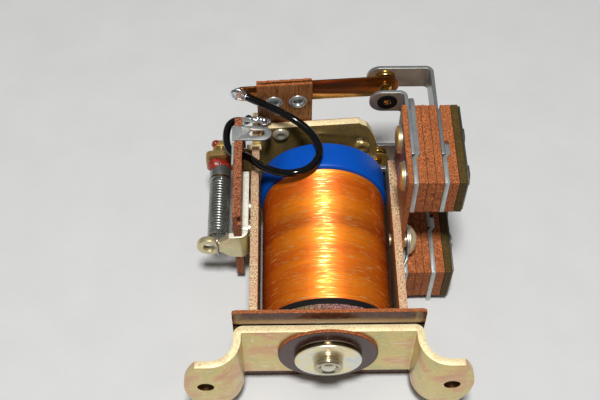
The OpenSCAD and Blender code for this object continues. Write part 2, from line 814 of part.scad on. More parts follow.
module clamp_plate(front, bottom, screws, z) {
    color("#5c4a22") layer(clamp_x, clamp_t, front, stack_back, bottom, screws, z);
}

module nut_plate(front, bottom, screws, z) {
    color("#8a8a86") layer(nut_plate_x, nut_plate_t, front + 0.6, stack_back - 0.6, bottom, screws, z);
}

module upper_screws() {
    head_x = carrier_x - screw_washer_t - screw_head_t;
    color("#a8772c") for (y = upper_screw_y) {
        along_x(y, upper_z, head_x + 0.6, nut_x + nut_t, screw_d);
        along_x(y, upper_z, head_x, head_x + screw_head_t, screw_head_d);
    }
}

module upper_screw_washers() {
    color("#d8dad8") for (y = upper_screw_y) difference() {
        along_x(y, upper_z, carrier_x - screw_washer_t, carrier_x, screw_head_d + 0.6);
        along_x(y, upper_z, carrier_x - 2, carrier_x + 1, screw_d);
    }
}

module upper_nuts() {
    color("#8a8a86") for (y = upper_screw_y) difference() {
        translate([nut_x, y, upper_z]) rotate([0, 90, 0]) cylinder(d = nut_d, h = nut_t, $fn = 6);
        along_x(y, upper_z, nut_x - 1, nut_x + nut_t + 1, screw_d);
    }
}

module lower_screws() {
    color("#8a8a86") for (y = lower_screw_y) {
        along_x(y, -lower_z, arm_in_x, nut_x + 0.5, screw_d);
        along_x(y, -lower_z, nut_x, nut_x + nut_t, nut_d);
    }
}

module armature() {
    color("#bfae78") difference() {
        resting() plate_y(arm_y, arm_t) armature_outline();
        along_y(spring_x, 0, arm_y - 4, arm_back_y + 4, post_d);
        resting() for (p = rivet_points) along_y(p[0], p[1], arm_y - 1, arm_back_y + 1, arm_rivet_d);
    }
}

// Plate with a shallow round right end, a neck in the tongue's slot and the spring's tail beyond it
module armature_outline() {
    plate_left = hinge_x + neck_half;
    tail_right = hinge_x - neck_half;
    difference() {
        round_end_plate(plate_left, arm_right, arm_h / 2, arm_end_r, arm_corner_cut);
        box2(contact_x - 4.9, arm_right + 1, -arm_h, bracket_h / 2 - lower_z + 0.8);
    }
    box2(tail_right - 1, plate_left + 1, -neck_h / 2, neck_h / 2);
    intersection() {
        round_box(-tail_left, tail_right + 6, -tail_h / 2, tail_h / 2, 1.5);
        box2(-tail_left - 1, tail_right, -tail_h, tail_h);
    }
}

// The corners between the end's arc and the straight sides are cut off
module round_end_plate(left, right, half, end_r, cut) {
    x = right - end_r;
    corner = x + sqrt(end_r * end_r - half * half);
    difference() {
        intersection() {
            translate([x, 0]) circle(end_r, $fn = 144);
            box2(left, right + 1, -half, half);
        }
        for (side = [0, 1]) mirror([0, side])
            polygon([[corner - cut, half + 1], [corner - cut, half],
                     [corner + 0.85 * cut, half - 1.25 * cut],
                     [right, half - 1.25 * cut], [right, half + 1]]);
    }
}

arm_rivet_d = 2;
arm_rivet_head = 3.7;
rivet_points = [[-10, 10], [9.2, 5.8], [-10, -8]];

module armature_rivets() {
    color("#a9a79d") resting() for (p = rivet_points) {
        along_y(p[0], p[1], arm_y - 0.5, block_y, arm_rivet_d);
        along_y(p[0], p[1], arm_y - 0.5, arm_y, arm_rivet_head);
    }
}

card_right = 9;

module insulating_card() {
    color("#8c4a30") resting() difference() {
        plate_y(card_y, card_t) {
            box2(block_left + block_step, card_right, block_bottom, arm_h / 2 - 0.3);
            box2(0, 11.4, 1, arm_h / 2 - 3);
        }
        for (p = rivet_points) along_y(p[0], p[1], card_y - 1, card_y + card_t + 1, arm_rivet_d);
    }
}

module block_plate(y) {
    difference() {
        plate_y(y, block_t) {
            box2(block_left, block_right, tongue_h / 2 + 1.5, block_top);
            box2(block_left + block_step, block_right, block_bottom, tongue_h / 2 + 2);
        }
        eyelet_holes(y - 1, y + block_t + 1);
    }
}

module eyelet_holes(y0, y1) {
    for (x = eyelet_x, z = [upper_z - eyelet_drop, -lower_z]) along_y(x, z, y0, y1, eyelet_bore + 0.5);
}

module block_front() {
    color("#8a4a2a") resting() block_plate(block_y);
}

module block_rear() {
    color("#8a4a2a") resting() block_plate(block_rear_y);
}

// Hollow rivets through both plates and the blade between them
module block_eyelets() {
    y0 = block_y - eyelet_lip;
    y1 = block_rear_y + block_t + eyelet_lip;
    color("#b4bbbf") resting() for (x = eyelet_x, z = [upper_z - eyelet_drop, -lower_z]) difference() {
        union() {
            if (z > 0) along_y(x, z, y0, block_y, eyelet_d);
            along_y(x, z, z > 0 ? y0 : block_y, y1, eyelet_bore + 0.5);
            along_y(x, z, y1 - eyelet_lip, y1, eyelet_d);
        }
        along_y(x, z, y0 - 1, y1 + 1, eyelet_bore - 0.4);
    }
}

// Flat spring with a round tip under the contact and a tail for the lead
module blade(z, tail_z) {
    difference() {
        plate_y(blade_y, blade_t) {
            tab(block_left + 2, blade_tip_x, z - blade_h / 2, z + blade_h / 2, false, true);
            tab(blade_tail_x, block_right, tail_z - tail_w / 2, tail_z + tail_w / 2, true, false);
        }
        eyelet_holes(blade_y - 1, blade_y + blade_t + 1);
        along_y(contact_x, z, blade_y - 1, blade_y + blade_t + 1, button_shank);
    }
}

module moving_contact(z) {
    domed_contact(contact_x, z, blade_y, contact_h, -1);
    domed_contact(contact_x, z, block_rear_y, contact_h, 1);
    along_y(contact_x, z, blade_y - 0.2, block_rear_y + 0.2, button_shank);
}

module upper_blade() {
    color("#8a5426") resting() blade(upper_z, upper_z);
}

module lower_blade() {
    color("#8a5426") resting() blade(-lower_z, -tongue_h / 2 - 0.6 - tail_w / 2);
}

module upper_moving_contact() {
    color("#b8954a") resting() moving_contact(upper_z);
}

module lower_moving_contact() {
    color("#b8954a") resting() moving_contact(-lower_z);
}

post_d = 1.9;
tail_front_y = at_rest(spring_x, arm_y)[1];
tail_back_y = at_rest(spring_x, arm_back_y)[1];
plug_d = spring_d + 0.2;
nut_front_y = tail_front_y - 2.1;

module adjusting_post() {
    color("#b9bbb8") along_y(spring_x, 0, spring_back - 1.5, tail_back_y + 4.8, post_d);
}

// The plug's nose sits inside the last turns of the spring
module spring_plug() {
    color("#8f9394") difference() {
        union() {
            along_y(spring_x, 0, spring_back, nut_front_y, plug_d);
            along_y(spring_x, 0, spring_back - 1.5, spring_back, spring_d - 2 * wire_d - 0.3);
        }
        along_y(spring_x, 0, spring_back - 3, nut_front_y + 1, post_d);
    }
}

module adjusting_nut() {
    color("#8d8436") difference() {
        translate([spring_x, tail_back_y + 2.4, 0]) rotate([-90, 0, 0]) cylinder(d = 4.4, h = 1.7, $fn = 6);
        along_y(spring_x, 0, tail_back_y, tail_back_y + 6, post_d);
    }
}

// Red lacquer locks the post in front of the tail and at its left end
module lacquer_seal() {
    color("#8e1f16") {
        difference() {
            translate([spring_x, nut_front_y, 0]) rotate([-90, 0, 0])
                cylinder(d1 = plug_d + 0.3, d2 = 3.4, h = 1.9);
            along_y(spring_x, 0, nut_front_y - 1, tail_front_y + 1, post_d);
        }
    }
}

// Closed coil, then a hook that comes down over the neck of the ear
spring_r = (spring_d - wire_d) / 2;
steps = 14;
spring_path = concat(
    [for (k = [0 : spring_turns * steps]) let (a = 360 * k / steps)
        [spring_x + spring_r * sin(a),
         spring_back - 0.4 - (spring_back - 0.4 - spring_front) * k / (spring_turns * steps),
         spring_r * cos(a)]],
    [[spring_x + 0.3, spring_front - 1, spring_r + 0.6], [spring_x + 0.1, spring_front - 2.4, neck_z + 1],
     [spring_x, ear_y - 0.2, neck_z + 0.7], [spring_x, ear_y - 0.5, neck_z], [spring_x, ear_y - 0.5, 0],
     [spring_x, ear_y - 0.5, -neck_z], [spring_x, ear_y - 0.1, -neck_z - 0.6],
     [spring_x, ear_y + 0.7, -neck_z - 0.7], [spring_x, ear_y + 1.8, -neck_z - 0.3]]
);

module return_spring() {
    color("#7d8587") swept_wire(spring_path, wire_d, 6);
}

tail_solder_x = -19;

module tail_solder() {
    color("#c9cdd0") resting() intersection() {
        translate([tail_solder_x, blade_y, upper_z + 0.2]) sphere(d = 3);
        translate([tail_solder_x - 5, blade_y - 5, upper_z - 5]) cube([10, 5, 10]);
    }
}

module flexible_lead() {
    color("#141414") swept_wire(lead_route, lead_d, 8);
}

mounting_bracket();
insulating_plate();
fibre_washer();
steel_washer();
core_nut();
core();
yoke();
bobbin();
winding();
rear_cap();
terminal_board();
spring_bracket();
slotted_tags();
soldered_tag();
board_rivets();
contact_carrier();
carrier_screw();
formed_washer();
make_bracket(upper_z, upper_screw_y, upper_bottom);  // upper_make_bracket
make_button(upper_z);  // upper_make_button
make_strip(upper_front, upper_bottom, upper_screw_y, upper_z, upper_bottom, upper_strip_back);  // upper_make_strip
break_bracket(upper_z, upper_screw_y, upper_bottom);  // upper_break_bracket
break_button(upper_z);  // upper_break_button
break_strip(upper_front, upper_bottom, upper_screw_y, upper_z, upper_bottom);  // upper_break_strip
make_bracket(-lower_z, lower_screw_y, lower_bottom);  // lower_make_bracket
make_button(-lower_z);  // lower_make_button
make_strip(lower_front, lower_bottom, lower_screw_y, -lower_z, -plate_h / 2, stack_back);  // lower_make_strip
break_bracket(-lower_z, lower_screw_y, lower_bottom);  // lower_break_bracket
break_button(-lower_z);  // lower_break_button
break_strip(lower_front, lower_bottom, lower_screw_y, -lower_z, -plate_h / 2);  // lower_break_strip
spacers(upper_front, upper_bottom, upper_screw_y, upper_z);  // upper_spacers
cover(upper_front, upper_bottom, upper_screw_y, upper_z);  // upper_cover
clamp_plate(upper_front, upper_bottom, upper_screw_y, upper_z);  // upper_clamp_plate
nut_plate(upper_front, upper_bottom, upper_screw_y, upper_z);  // upper_nut_plate
spacers(lower_front, lower_bottom, lower_screw_y, -lower_z);  // lower_spacers
cover(lower_front, lower_bottom, lower_screw_y, -lower_z);  // lower_cover
clamp_plate(lower_front, lower_bottom, lower_screw_y, -lower_z);  // lower_clamp_plate
nut_plate(lower_front, lower_bottom, lower_screw_y, -lower_z);  // lower_nut_plate
upper_screws();
upper_screw_washers();
upper_nuts();
lower_screws();
armature();
armature_rivets();
insulating_card();
block_front();
block_rear();
block_eyelets();
upper_blade();
upper_moving_contact();
lower_blade();
lower_moving_contact();
adjusting_post();
spring_plug();
adjusting_nut();
lacquer_seal();
return_spring();
tail_solder();
flexible_lead();
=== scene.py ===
"""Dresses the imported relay: modelled pieces, procedural finishes, a plain studio and the camera."""

import math

import bpy
from mathutils import Euler, Matrix, Vector


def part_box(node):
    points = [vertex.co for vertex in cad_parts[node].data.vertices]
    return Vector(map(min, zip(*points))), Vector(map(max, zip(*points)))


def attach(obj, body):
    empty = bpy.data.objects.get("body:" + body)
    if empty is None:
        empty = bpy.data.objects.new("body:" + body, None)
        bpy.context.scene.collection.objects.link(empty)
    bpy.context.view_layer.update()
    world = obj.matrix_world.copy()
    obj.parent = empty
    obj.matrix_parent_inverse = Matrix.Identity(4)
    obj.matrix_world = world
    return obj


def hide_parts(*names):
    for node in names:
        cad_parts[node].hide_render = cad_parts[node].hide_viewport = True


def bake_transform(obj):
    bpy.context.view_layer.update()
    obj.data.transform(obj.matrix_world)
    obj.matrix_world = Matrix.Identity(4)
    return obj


bl_info = {
    "name": "Open-frame relay",
    "version": (1, 0, 0),
    "blender": (4, 5, 0),
    "location": "View3D > Sidebar > Relay",
    "description": "Builds the visible pieces of an open-frame relay around its packed solids",
    "category": "Object",
}

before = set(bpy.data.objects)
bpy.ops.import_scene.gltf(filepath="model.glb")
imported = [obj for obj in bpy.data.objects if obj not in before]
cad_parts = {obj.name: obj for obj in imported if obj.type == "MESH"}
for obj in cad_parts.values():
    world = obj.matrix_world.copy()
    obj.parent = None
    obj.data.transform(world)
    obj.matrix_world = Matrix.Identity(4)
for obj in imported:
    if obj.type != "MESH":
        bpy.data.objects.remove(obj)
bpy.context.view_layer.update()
MM = 0.001
AXES = {"X": Vector((1, 0, 0)), "Y": Vector((0, 1, 0)), "Z": Vector((0, 0, 1))}

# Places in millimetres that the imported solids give
HINGE = Vector((-16.0, 60.6, 0.0))
OPEN_ANGLE = math.radians(3.7)
FLOOR_Z = -15.0
EAR_HOLE_X, EAR_HOLE_REACH = 26.2, 1.95
NUT_Y, STEEL_WASHER_Y, FIBRE_WASHER_Y = 3.85, 5.65, 7.15
PACKING_Y, PACKING_LOW_Z = 11.0, 9.62
FLANGE_Y, CAP_Y, POLE_HEAD_Y = 12.2, 47, 54
WINDING_Y, WINDING_RADIUS, TURNS_LENGTH = 13.4, 14.4, 33.5
BOARD_RIVETS_Y, BOARD_OUTER_X, BOARD_INNER_X = (40, 46), -20.9, -17.6
BOARD_NOTCH = (-19.9, 34.0, 9.5), (-18.8, 38.0, 12.2)
SPRING_EAR_X, ARMATURE_FACE_X = -22.4, -19
STACKS = {"upper": (33.3, 16.2), "lower": (28.5, -12.6)}  # front end and lower side of each
STACK_HEIGHT, STACK_BACK_Y = 11.1, 54.7
STACK_X, CARRIER_X, CARRIER_Y = 19.1, 19.9, 40.4
LAYERS_X, LAYER_THICKNESS = (21.1, 22.85), 1.75
SCREW_HEAD_X, SCREW_WASHER_X, SCREW_NUT_X, LOWER_SCREW_X = 15.7, 16.55, 30.3, 15.0
UPPER_SCREWS_Y, LOWER_SCREWS_Y = (38.9, 49), (39.8, 49)
CARRIER_HEAD_X, CARRIER_SCREW = 18.3, (35, 2.3)
CLAPPER_RIVETS = ((-10, 10), (-10, -8), (9.8, 3.2))
EYELETS_X, EYELETS_Z = (-11.4, -5.8), (19.2, -7)
ARMATURE_Y = 59.8
BLOCK_Y = 61.9
BLOCK_BACK_Y = 63.7
BLADE_Y = 62.6
BLADE_BACK_Y = 63.0
CONTACT_X = 14.5
POLE_Z = {"upper": 22.0, "lower": -7.0}
SPRING_X = -24.8
SPRING_FRONT_Y = 38.0
PLUG_Y = 53.4
LEAD_ROUTE = [
    (-17.8, 61.5, 22.4), (-15, 60.7, 21.4), (-12.4, 60.2, 20.2), (-9.6, 59.3, 19.1),
    (-7, 58.3, 18.1), (-4.8, 56.8, 17.5), (-3, 55, 17), (-1.7, 52.8, 16.8),
    (-1.1, 50.6, 16.6), (-1.4, 48.4, 16.5), (-2.7, 46.2, 16.5), (-4.5, 44.8, 16.5),
    (-6.8, 44.1, 16.5), (-9.2, 44.4, 16), (-11.9, 45.9, 15), (-14.3, 48.1, 13.6),
    (-16, 50.5, 12.2), (-17.2, 52.6, 10.9), (-18.6, 53.9, 10), (-20.2, 54.3, 9.8),
    (-21.4, 55.1, 9.6), (-22.3, 56.5, 9.4), (-22.8, 58.3, 9.1), (-23, 60.3, 8.8),
    (-22.9, 62.3, 8.8), (-22.4, 64, 8.9), (-21.4, 65.1, 8.9), (-20.1, 65.4, 8.9),
    (-18.9, 64.9, 9.2), (-18.2, 64, 10.4), (-17.8, 63, 12), (-17.5, 62.2, 13.6),
]

# The light, and the camera as it was fitted to the photograph: metres, watts, degrees and pixels
LAMP_PLACE, LAMP_TARGET, LAMP_POWER = (-0.012, -0.12, 0.6), (0, 0.035, 0), 4.05
CAMERA_PLACE = (-0.008334, -0.086725, 0.19657)
CAMERA_YAW, CAMERA_PITCH, CAMERA_ROLL = 1.2023, 55.566, 0.4585
FOCAL_LENGTH, PHOTO_WIDTH, SENSOR_WIDTH = 993.29, 600, 36


def rgb(red, green, blue):
    """A colour given as on a screen, 0 to 255, in the linear values that shaders take."""
    def linear(value):
        value /= 255
        return value / 12.92 if value <= 0.04045 else ((value + 0.055) / 1.055) ** 2.4
    return (linear(red), linear(green), linear(blue), 1.0)


def shade(colour, factor):
    return tuple(min(1.0, c * factor) for c in colour[:3]) + (1.0,)


def size_property(name, text, value):
    return bpy.props.FloatProperty(
        name=name, description=text, default=value * MM, min=0.0, unit="LENGTH", precision=5
    )


def swatch(name, text, *tone):
    return bpy.props.FloatVectorProperty(
        name=name, description=text, size=4, min=0.0, max=1.0, subtype="COLOR", default=rgb(*tone)
    )


class RelaySizes(bpy.types.PropertyGroup):
    """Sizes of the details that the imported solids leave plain."""

    steel_edge: size_property("Steel edge", "Rounding of the stamped steel's edges", 0.16)
    tin_edge: size_property("Tin edge", "Rounding of the tags' and contact brackets' edges", 0.1)
    fibre_tear: size_property("Fibre tear", "How far the sawn fibre edges stand in and out", 0.3)
    wire_pitch: size_property("Wire pitch", "Distance between the winding's turns", 0.16)
    wire_relief: size_property("Wire relief", "Depth of the grooves between the turns", 0.035)
    spring_wire: size_property("Spring wire", "Diameter of the return spring's wire", 0.57)
    lead_width: size_property("Lead width", "Outer diameter of the flexible lead", 1.8)
    softbox: size_property("Softbox", "Side of the overhead light", 95)


class RelayColours(bpy.types.PropertyGroup):
    """Colours of the finishes."""

    gold: swatch("Chromate gold", "Main tone of the chromate steel", 214, 196, 134)
    pink: swatch("Chromate pink", "Pink tone of the chromate's sheen", 222, 162, 134)
    green: swatch("Chromate green", "Green tone of the chromate's sheen", 186, 190, 138)
    sheared: swatch("Sheared edge", "Bright cut edges of the steel", 250, 228, 178)
    speckle: swatch("Edge speckle", "Torn grain in the cut edges", 184, 134, 102)
    fibre: swatch("Fibre", "Cut edges of the laminated fibre", 171, 98, 54)
    fibre_dark: swatch("Fibre grain", "Dark grain in the fibre", 92, 44, 24)
    board: swatch("Board face", "Faces of the fibre parts", 140, 92, 50)
    phenolic: swatch("Phenolic", "Glossy fibre washer of the centre fixing", 66, 36, 32)
    amber: swatch("Amber", "Enamelled wire where it faces the light", 248, 140, 6)
    amber_deep: swatch("Deep amber", "Enamelled wire in the deeper bands", 218, 84, 0)
    blue: swatch("Blue", "Rear cap of the coil", 0, 76, 174)
    tin: swatch("Tin", "Tinned brackets and tags", 188, 192, 190)
    zinc: swatch("Zinc", "Zinc-plated fasteners", 214, 214, 206)
    bronze: swatch("Bronze", "Contact blades", 182, 108, 44)
    brass: swatch("Brass", "Contact buttons", 190, 152, 76)
    olive: swatch("Olive", "Clamp plates of the contact stacks", 84, 66, 26)
    lacquer: swatch("Lacquer", "Red locking lacquer", 140, 36, 20)
    black: swatch("Black", "Flange and lead", 16, 16, 17)
    floor: swatch("Floor", "Table under the relay", 206, 206, 205)


def sizes():
    return bpy.context.scene.relay_sizes


def colours():
    return bpy.context.scene.relay_colours


# Finishes: procedural, on Object coordinates, with plain numbers on the shader's own sockets


class Pattern:
    """A new material and the texture nodes that are added to it."""

    def __init__(self, name, **values):
        self.finish = bpy.data.materials.new(name)
        self.finish.use_nodes = True
        self.tree = self.finish.node_tree
        self.shader = self.tree.nodes["Principled BSDF"]
        self.place = self.node("ShaderNodeTexCoord", "Object")
        for socket, value in values.items():
            self.feed(self.shader, socket.replace("_", " "), value)

    def feed(self, node, socket, value):
        """Links an input to another node's output, or sets it to a plain value."""
        if isinstance(value, bpy.types.NodeSocket):
            self.tree.links.new(value, node.inputs[socket])
        else:
            node.inputs[socket].default_value = value

    def node(self, kind, output, inputs=(), **settings):
        """Adds a node, feeds its inputs and returns one of its outputs."""
        made = self.tree.nodes.new(kind)
        for key, value in settings.items():
            setattr(made, key, value)
        for socket, value in dict(inputs).items():
            self.feed(made, socket, value)
        return made.outputs[output]

    def stretched(self, scale, turn=(0, 0, 0)):
        """Object coordinates for a grain that is longest where the scale is smallest."""
        return self.node("ShaderNodeMapping", "Vector",
                         {"Vector": self.place, "Rotation": turn, "Scale": scale})

    def noise(self, grain, detail=3.0, rough=0.55, at=None, twist=0.0):
        """Noise whose patches are about so many millimetres wide."""
        return self.node("ShaderNodeTexNoise", "Fac", {
            "Vector": at or self.place, "Scale": 1 / (grain * MM), "Detail": detail,
            "Roughness": rough, "Distortion": twist,
        })

    def along(self, axis, low, high):
        """Runs from 0 to 1 between two places in millimetres along an axis."""
        place = self.node("ShaderNodeSeparateXYZ", axis, {"Vector": self.place})
        return self.node("ShaderNodeMapRange", "Result",
                         {"Value": place, "From Min": low * MM, "From Max": high * MM})

    def ramp(self, value, *stops):
        """Maps a value through (position, colour) stops; a number stands for a grey."""
        made = self.tree.nodes.new("ShaderNodeValToRGB")
        self.feed(made, "Fac", value)
        line = made.color_ramp.elements
        while len(line) < len(stops):
            line.new(0.5)
        for element, (position, colour) in zip(line, stops):
            element.position = position
            element.color = colour if hasattr(colour, "__len__") else (colour, colour, colour, 1)
        return made.outputs["Color"]

    def shades(self, value, colour, *stops):
        """Maps a value through (position, factor) shades of one colour."""
        return self.ramp(value, *((position, shade(colour, factor)) for position, factor in stops))

    def mix(self, share, first, second):
        """Goes from the first colour to the second by a number or a mask."""
        return self.node("ShaderNodeMix", 2, {0: share, 6: first, 7: second}, data_type="RGBA")

    def scratches(self, length=9.0, width=0.09, turn=(0.3, 0.2, 0.6)):
        """Thin broken lines, white on black."""
        lines = self.noise(width * 6, 1.0, 0.4, self.stretched((width / length, 1, 1), turn))
        broken = self.noise(2.2, 2.0)
        thin = self.ramp(lines, (0.66, 0.0), (0.73, 0.7))
        return self.mix(self.ramp(broken, (0.5, 0.0), (0.62, 1.0)), (0, 0, 0, 1), thin)

    def done(self, colour, rough=None, *bumps):
        """Sets the colour, the (value, low, high) roughness and the (height, millimetres) bumps."""
        self.feed(self.shader, "Base Color", colour)
        if rough:
            value, low, high = rough
            self.feed(self.shader, "Roughness", self.node(
                "ShaderNodeMapRange", "Result", {"Value": value, "To Min": low, "To Max": high}))
        below = {}
        for height, reach in bumps:
            below = {"Normal": self.node("ShaderNodeBump", "Normal", {
                "Distance": reach * MM, "Strength": 1.0, "Height": height, **below})}
        if below:
            self.feed(self.shader, "Normal", below["Normal"])
        return self.finish


def chromate(name="chromate steel", pale=0.0):
    """Yellow zinc chromate: slow patches of gold, green and pink under white scratches."""
    c = colours()
    p = Pattern(name, Metallic=0.8)
    patches = p.noise(8.0, 4.0, 0.6, twist=0.6)
    tones = p.ramp(patches, (0.34, c.green), (0.43, c.gold), (0.5, shade(c.gold, 1.1)),
                   (0.6, c.pink), (0.74, shade(c.pink, 0.82)))
    tones = p.mix(0.25, tones, c.gold)
    tones = p.mix(pale, tones, rgb(214, 214, 190))
    fine = p.noise(0.45, 3.0, 0.7)
    tones = p.mix(0.16, tones, p.shades(fine, c.gold, (0.3, 0.55), (0.7, 1.3)))
    worn = p.ramp(p.noise(1.3, 4.0, 0.75), (0.58, 0.0), (0.7, 0.6))
    tones = p.mix(worn, tones, rgb(240, 234, 212))
    tones = p.mix(p.scratches(), tones, shade(c.sheared, 1.05))
    tones = p.mix(p.scratches(4.0, 0.13, (0.9, 1.1, -0.5)), tones, rgb(244, 240, 226))
    return p.done(tones, (fine, 0.26, 0.44), (fine, 0.006), (p.noise(3.5, 2.0), 0.02))


def sheared():
    """Cut edge of thick steel, with torn grain."""
    c = colours()
    p = Pattern("sheared edge", Metallic=0.45)
    grain = p.noise(0.34, 2.0, 0.65, p.stretched((1.0, 0.7, 1.0)))
    spots = p.ramp(grain, (0.34, shade(c.speckle, 0.6)), (0.43, c.speckle), (0.5, rgb(234, 204, 158)),
                   (0.72, shade(c.sheared, 1.05)))
    tones = p.mix(p.ramp(p.noise(5.0, 2.0), (0.42, 0.0), (0.62, 0.45)), spots, c.pink)
    return p.done(tones, (grain, 0.6, 0.32), (grain, 0.05))


def bright_edge(name, tone):
    p = Pattern(name, Metallic=0.3)
    grain = p.noise(0.5, 3.0, 0.6)
    tones = p.shades(grain, tone, (0.32, 0.7), (0.44, 1), (0.62, 1.15))
    tones = p.mix(p.ramp(p.noise(4.0, 2.0), (0.48, 0.0), (0.66, 0.25)), tones, colours().pink)
    return p.done(tones, (grain, 0.3, 0.45), (grain, 0.02))


def fibre_edge(name, light, dark, contrast):
    """Torn paper laminate: pale and dark flecks on a slow change of tone."""
    p = Pattern(name, Specular_IOR_Level=0.2)
    grain = p.noise(0.34, 3.0, 0.75)
    patches = p.noise(2.6, 2.0, 0.5)
    spread = 0.11 / contrast
    tones = p.ramp(grain, (0.5 - spread * 1.3, dark), (0.5 - spread * 0.4, shade(light, 0.72)),
                   (0.5 + spread * 0.5, shade(light, 1.05)), (0.5 + spread * 1.8, shade(light, 1.8)))
    tones = p.mix(p.ramp(patches, (0.4, 0.0), (0.65, 0.4)), tones, shade(light, 0.6))
    return p.done(tones, (grain, 0.75, 0.5), (grain, 0.12), (p.noise(1.2, 2.0), 0.08))


def fibre_face(name, pull):
    """Flat face of a laminate, its grain drawn out along the axis with the small scale."""
    c = colours()
    p = Pattern(name, Specular_IOR_Level=0.3, Roughness=0.42)
    grain = p.noise(0.4, 4.0, 0.7, p.stretched(pull))
    cross = p.noise(0.5, 2.0, 0.6)
    tones = p.ramp(grain, (0.36, c.fibre_dark), (0.48, c.board), (0.64, shade(c.board, 1.5)))
    tones = p.mix(p.ramp(cross, (0.4, 0.22), (0.6, 0.0)), tones, shade(c.fibre_dark, 0.6))
    return p.done(tones, (grain, 0.34, 0.55), (grain, 0.02), (cross, 0.012))


def paper():
    """Coated paper's cut edge: dark grain, olive at the left and pink at the right."""
    p = Pattern("coated paper", Specular_IOR_Level=0.5)
    grain = p.noise(0.3, 2.0, 0.7, p.stretched((1.0, 1.0, 0.5)))
    tones = p.mix(p.ramp(p.along("X", -8, 6), (0.2, 0.0), (0.6, 1.0)), rgb(158, 134, 96), rgb(186, 132, 126))
    dark = p.mix(0.85, tones, rgb(44, 24, 20))
    tones = p.mix(p.ramp(grain, (0.46, 1.0), (0.6, 0.0)), tones, dark)
    return p.done(tones, (grain, 0.5, 0.25), (grain, 0.08))


def glossy_board(name, colour, gloss=0.45, rough=0.16, gap=False):
    """Glossy laminate; with the gap, a painted shade, dull and dark, where the nut's recess shades it, and a
    painted golden reflection of the bracket's edge above it.
    """
    p = Pattern(name, Specular_IOR_Level=gloss, Roughness=rough)
    clouds = p.noise(1.4, 3.0, 0.6)
    tones = p.shades(clouds, colour, (0.35, 0.6), (0.65, 1.4))
    if gap:
        height = p.along("Z", 9.0, 12.4)
        # Painted shade: a dark, dull band just above the bracket's top edge.
        dark = p.ramp(height, (0.08, 0.0), (0.12, 1.0), (0.28, 1.0), (0.43, 0.0))
        tones = p.mix(dark, tones, rgb(8, 4, 2))
        # Painted reflection: a golden band above the dark one stands in for the bracket's lit edge seen in
        # the gloss.
        rim = p.ramp(p.along("Z", 9.4, 12.4), (0.3, 0.0), (0.45, 0.6), (0.75, 0.5), (0.95, 0.0))
        tones = p.mix(rim, tones, rgb(164, 116, 56))
        p.feed(p.shader, "Specular IOR Level",
               p.ramp(height, (0.08, gloss), (0.12, 0.0), (0.34, 0.0), (0.43, gloss)))
    return p.done(tones, (clouds, rough, rough + 0.14), (p.noise(4.0, 2.0), 0.03))


def enamel():
    """Amber wire in rings of slightly different tone, with painted glints on single turns and painted shade
    that darkens the lower flanks.
    """
    c = colours()
    p = Pattern("enamelled wire", Metallic=0.6, Coat_Weight=0.2, Coat_Roughness=0.35)
    fine, bands, turns = (p.noise(grain, 2.0, rough, p.stretched((pull, 1, pull)))
                          for grain, rough, pull in ((0.2, 0.7, 0.015), (6.0, 0.5, 0.1), (0.24, 0.65, 0.07)))
    tones = p.ramp(bands, (0.38, c.amber_deep), (0.52, c.amber), (0.66, shade(c.amber, 1.2)))
    tones = p.mix(0.25, tones, p.ramp(fine, (0.35, shade(c.amber_deep, 0.6)), (0.62, shade(c.amber, 1.3))))
    tones = p.mix(0.35, tones, rgb(236, 114, 4))
    dull = p.ramp(p.along("Y", 29, 39), (0.2, 0.0), (0.34, 0.45), (0.6, 0.3), (0.86, 0.0))
    tones = p.mix(dull, tones, shade(c.amber_deep, 0.4))
    # Painted shade: lower on the winding, away from the overhead light, the colour is painted deep red.
    low = p.ramp(p.along("Z", -2, 13), (0.0, 1.0), (0.35, 0.85), (0.7, 0.4), (1.0, 0.0))
    tones = p.mix(low, tones, rgb(126, 18, 0))
    # Painted highlight: thin streaks of single turns are painted pale yellow as glints.
    tones = p.mix(p.ramp(turns, (0.6, 0.0), (0.67, 0.6)), tones, rgb(255, 214, 140))
    shine = p.ramp(turns, (0.35, 1.0), (0.65, 0.0))
    return p.done(tones, (shine, 0.3, 0.6), (fine, 0.013), (turns, 0.02))


def moulded(name, colour, rough, mottle, gloss=0.5):
    p = Pattern(name, Specular_IOR_Level=gloss, Roughness=rough)
    tones = p.shades(p.noise(6.0, 2.0), colour, (0.35, 1 - mottle), (0.65, 1 + mottle))
    return p.done(tones, (p.noise(0.8, 3.0), rough - 0.06, rough + 0.08),
                  (p.noise(0.35, 2.0), 0.004), (p.noise(3.0, 1.0), 0.012))


def plated(name, colour, rough, metal, tint=None, brushed=False, specks=0.25):
    """Plated or bare metal with fine wear, and a second tone in slow patches."""
    p = Pattern(name, Metallic=metal)
    fine = p.noise(0.3, 3.0, 0.7, p.stretched((1, 0.12, 1)) if brushed else None)
    patches = p.noise(2.8, 2.0, 0.6)
    tones = p.shades(patches, colour, (0.4, 0.88), (0.6, 1.08))
    if tint:
        tones = p.mix(p.ramp(patches, (0.45, 0.0), (0.62, 0.7)), tones, tint)
    tones = p.mix(specks, tones, p.shades(fine, colour, (0.35, 0.55), (0.6, 1.15)))
    return p.done(tones, (fine, rough - 0.08, rough + 0.12), (fine, 0.006), (patches, 0.008))


def bronze_with_painted_reflection(bronze):
    """Rolled bronze with a painted reflection: brown at its upper edge and golden at its lower one."""
    p = Pattern("bronze blade painted reflection", Metallic=0.85)
    fine = p.noise(0.3, 3.0, 0.6, p.stretched((0.05, 1, 1)))
    # Painted reflection: the colour runs from gold at the bottom to dark brown at the top.
    tones = p.ramp(p.along("Z", 18.6, 25.4), (0.05, rgb(216, 172, 96)), (0.35, bronze),
                   (0.75, shade(bronze, 0.45)), (1.0, shade(bronze, 0.3)))
    tones = p.mix(0.1, tones, p.shades(fine, bronze, (0.35, 0.6), (0.65, 1.2)))
    return p.done(tones, (fine, 0.24, 0.36), (fine, 0.004))


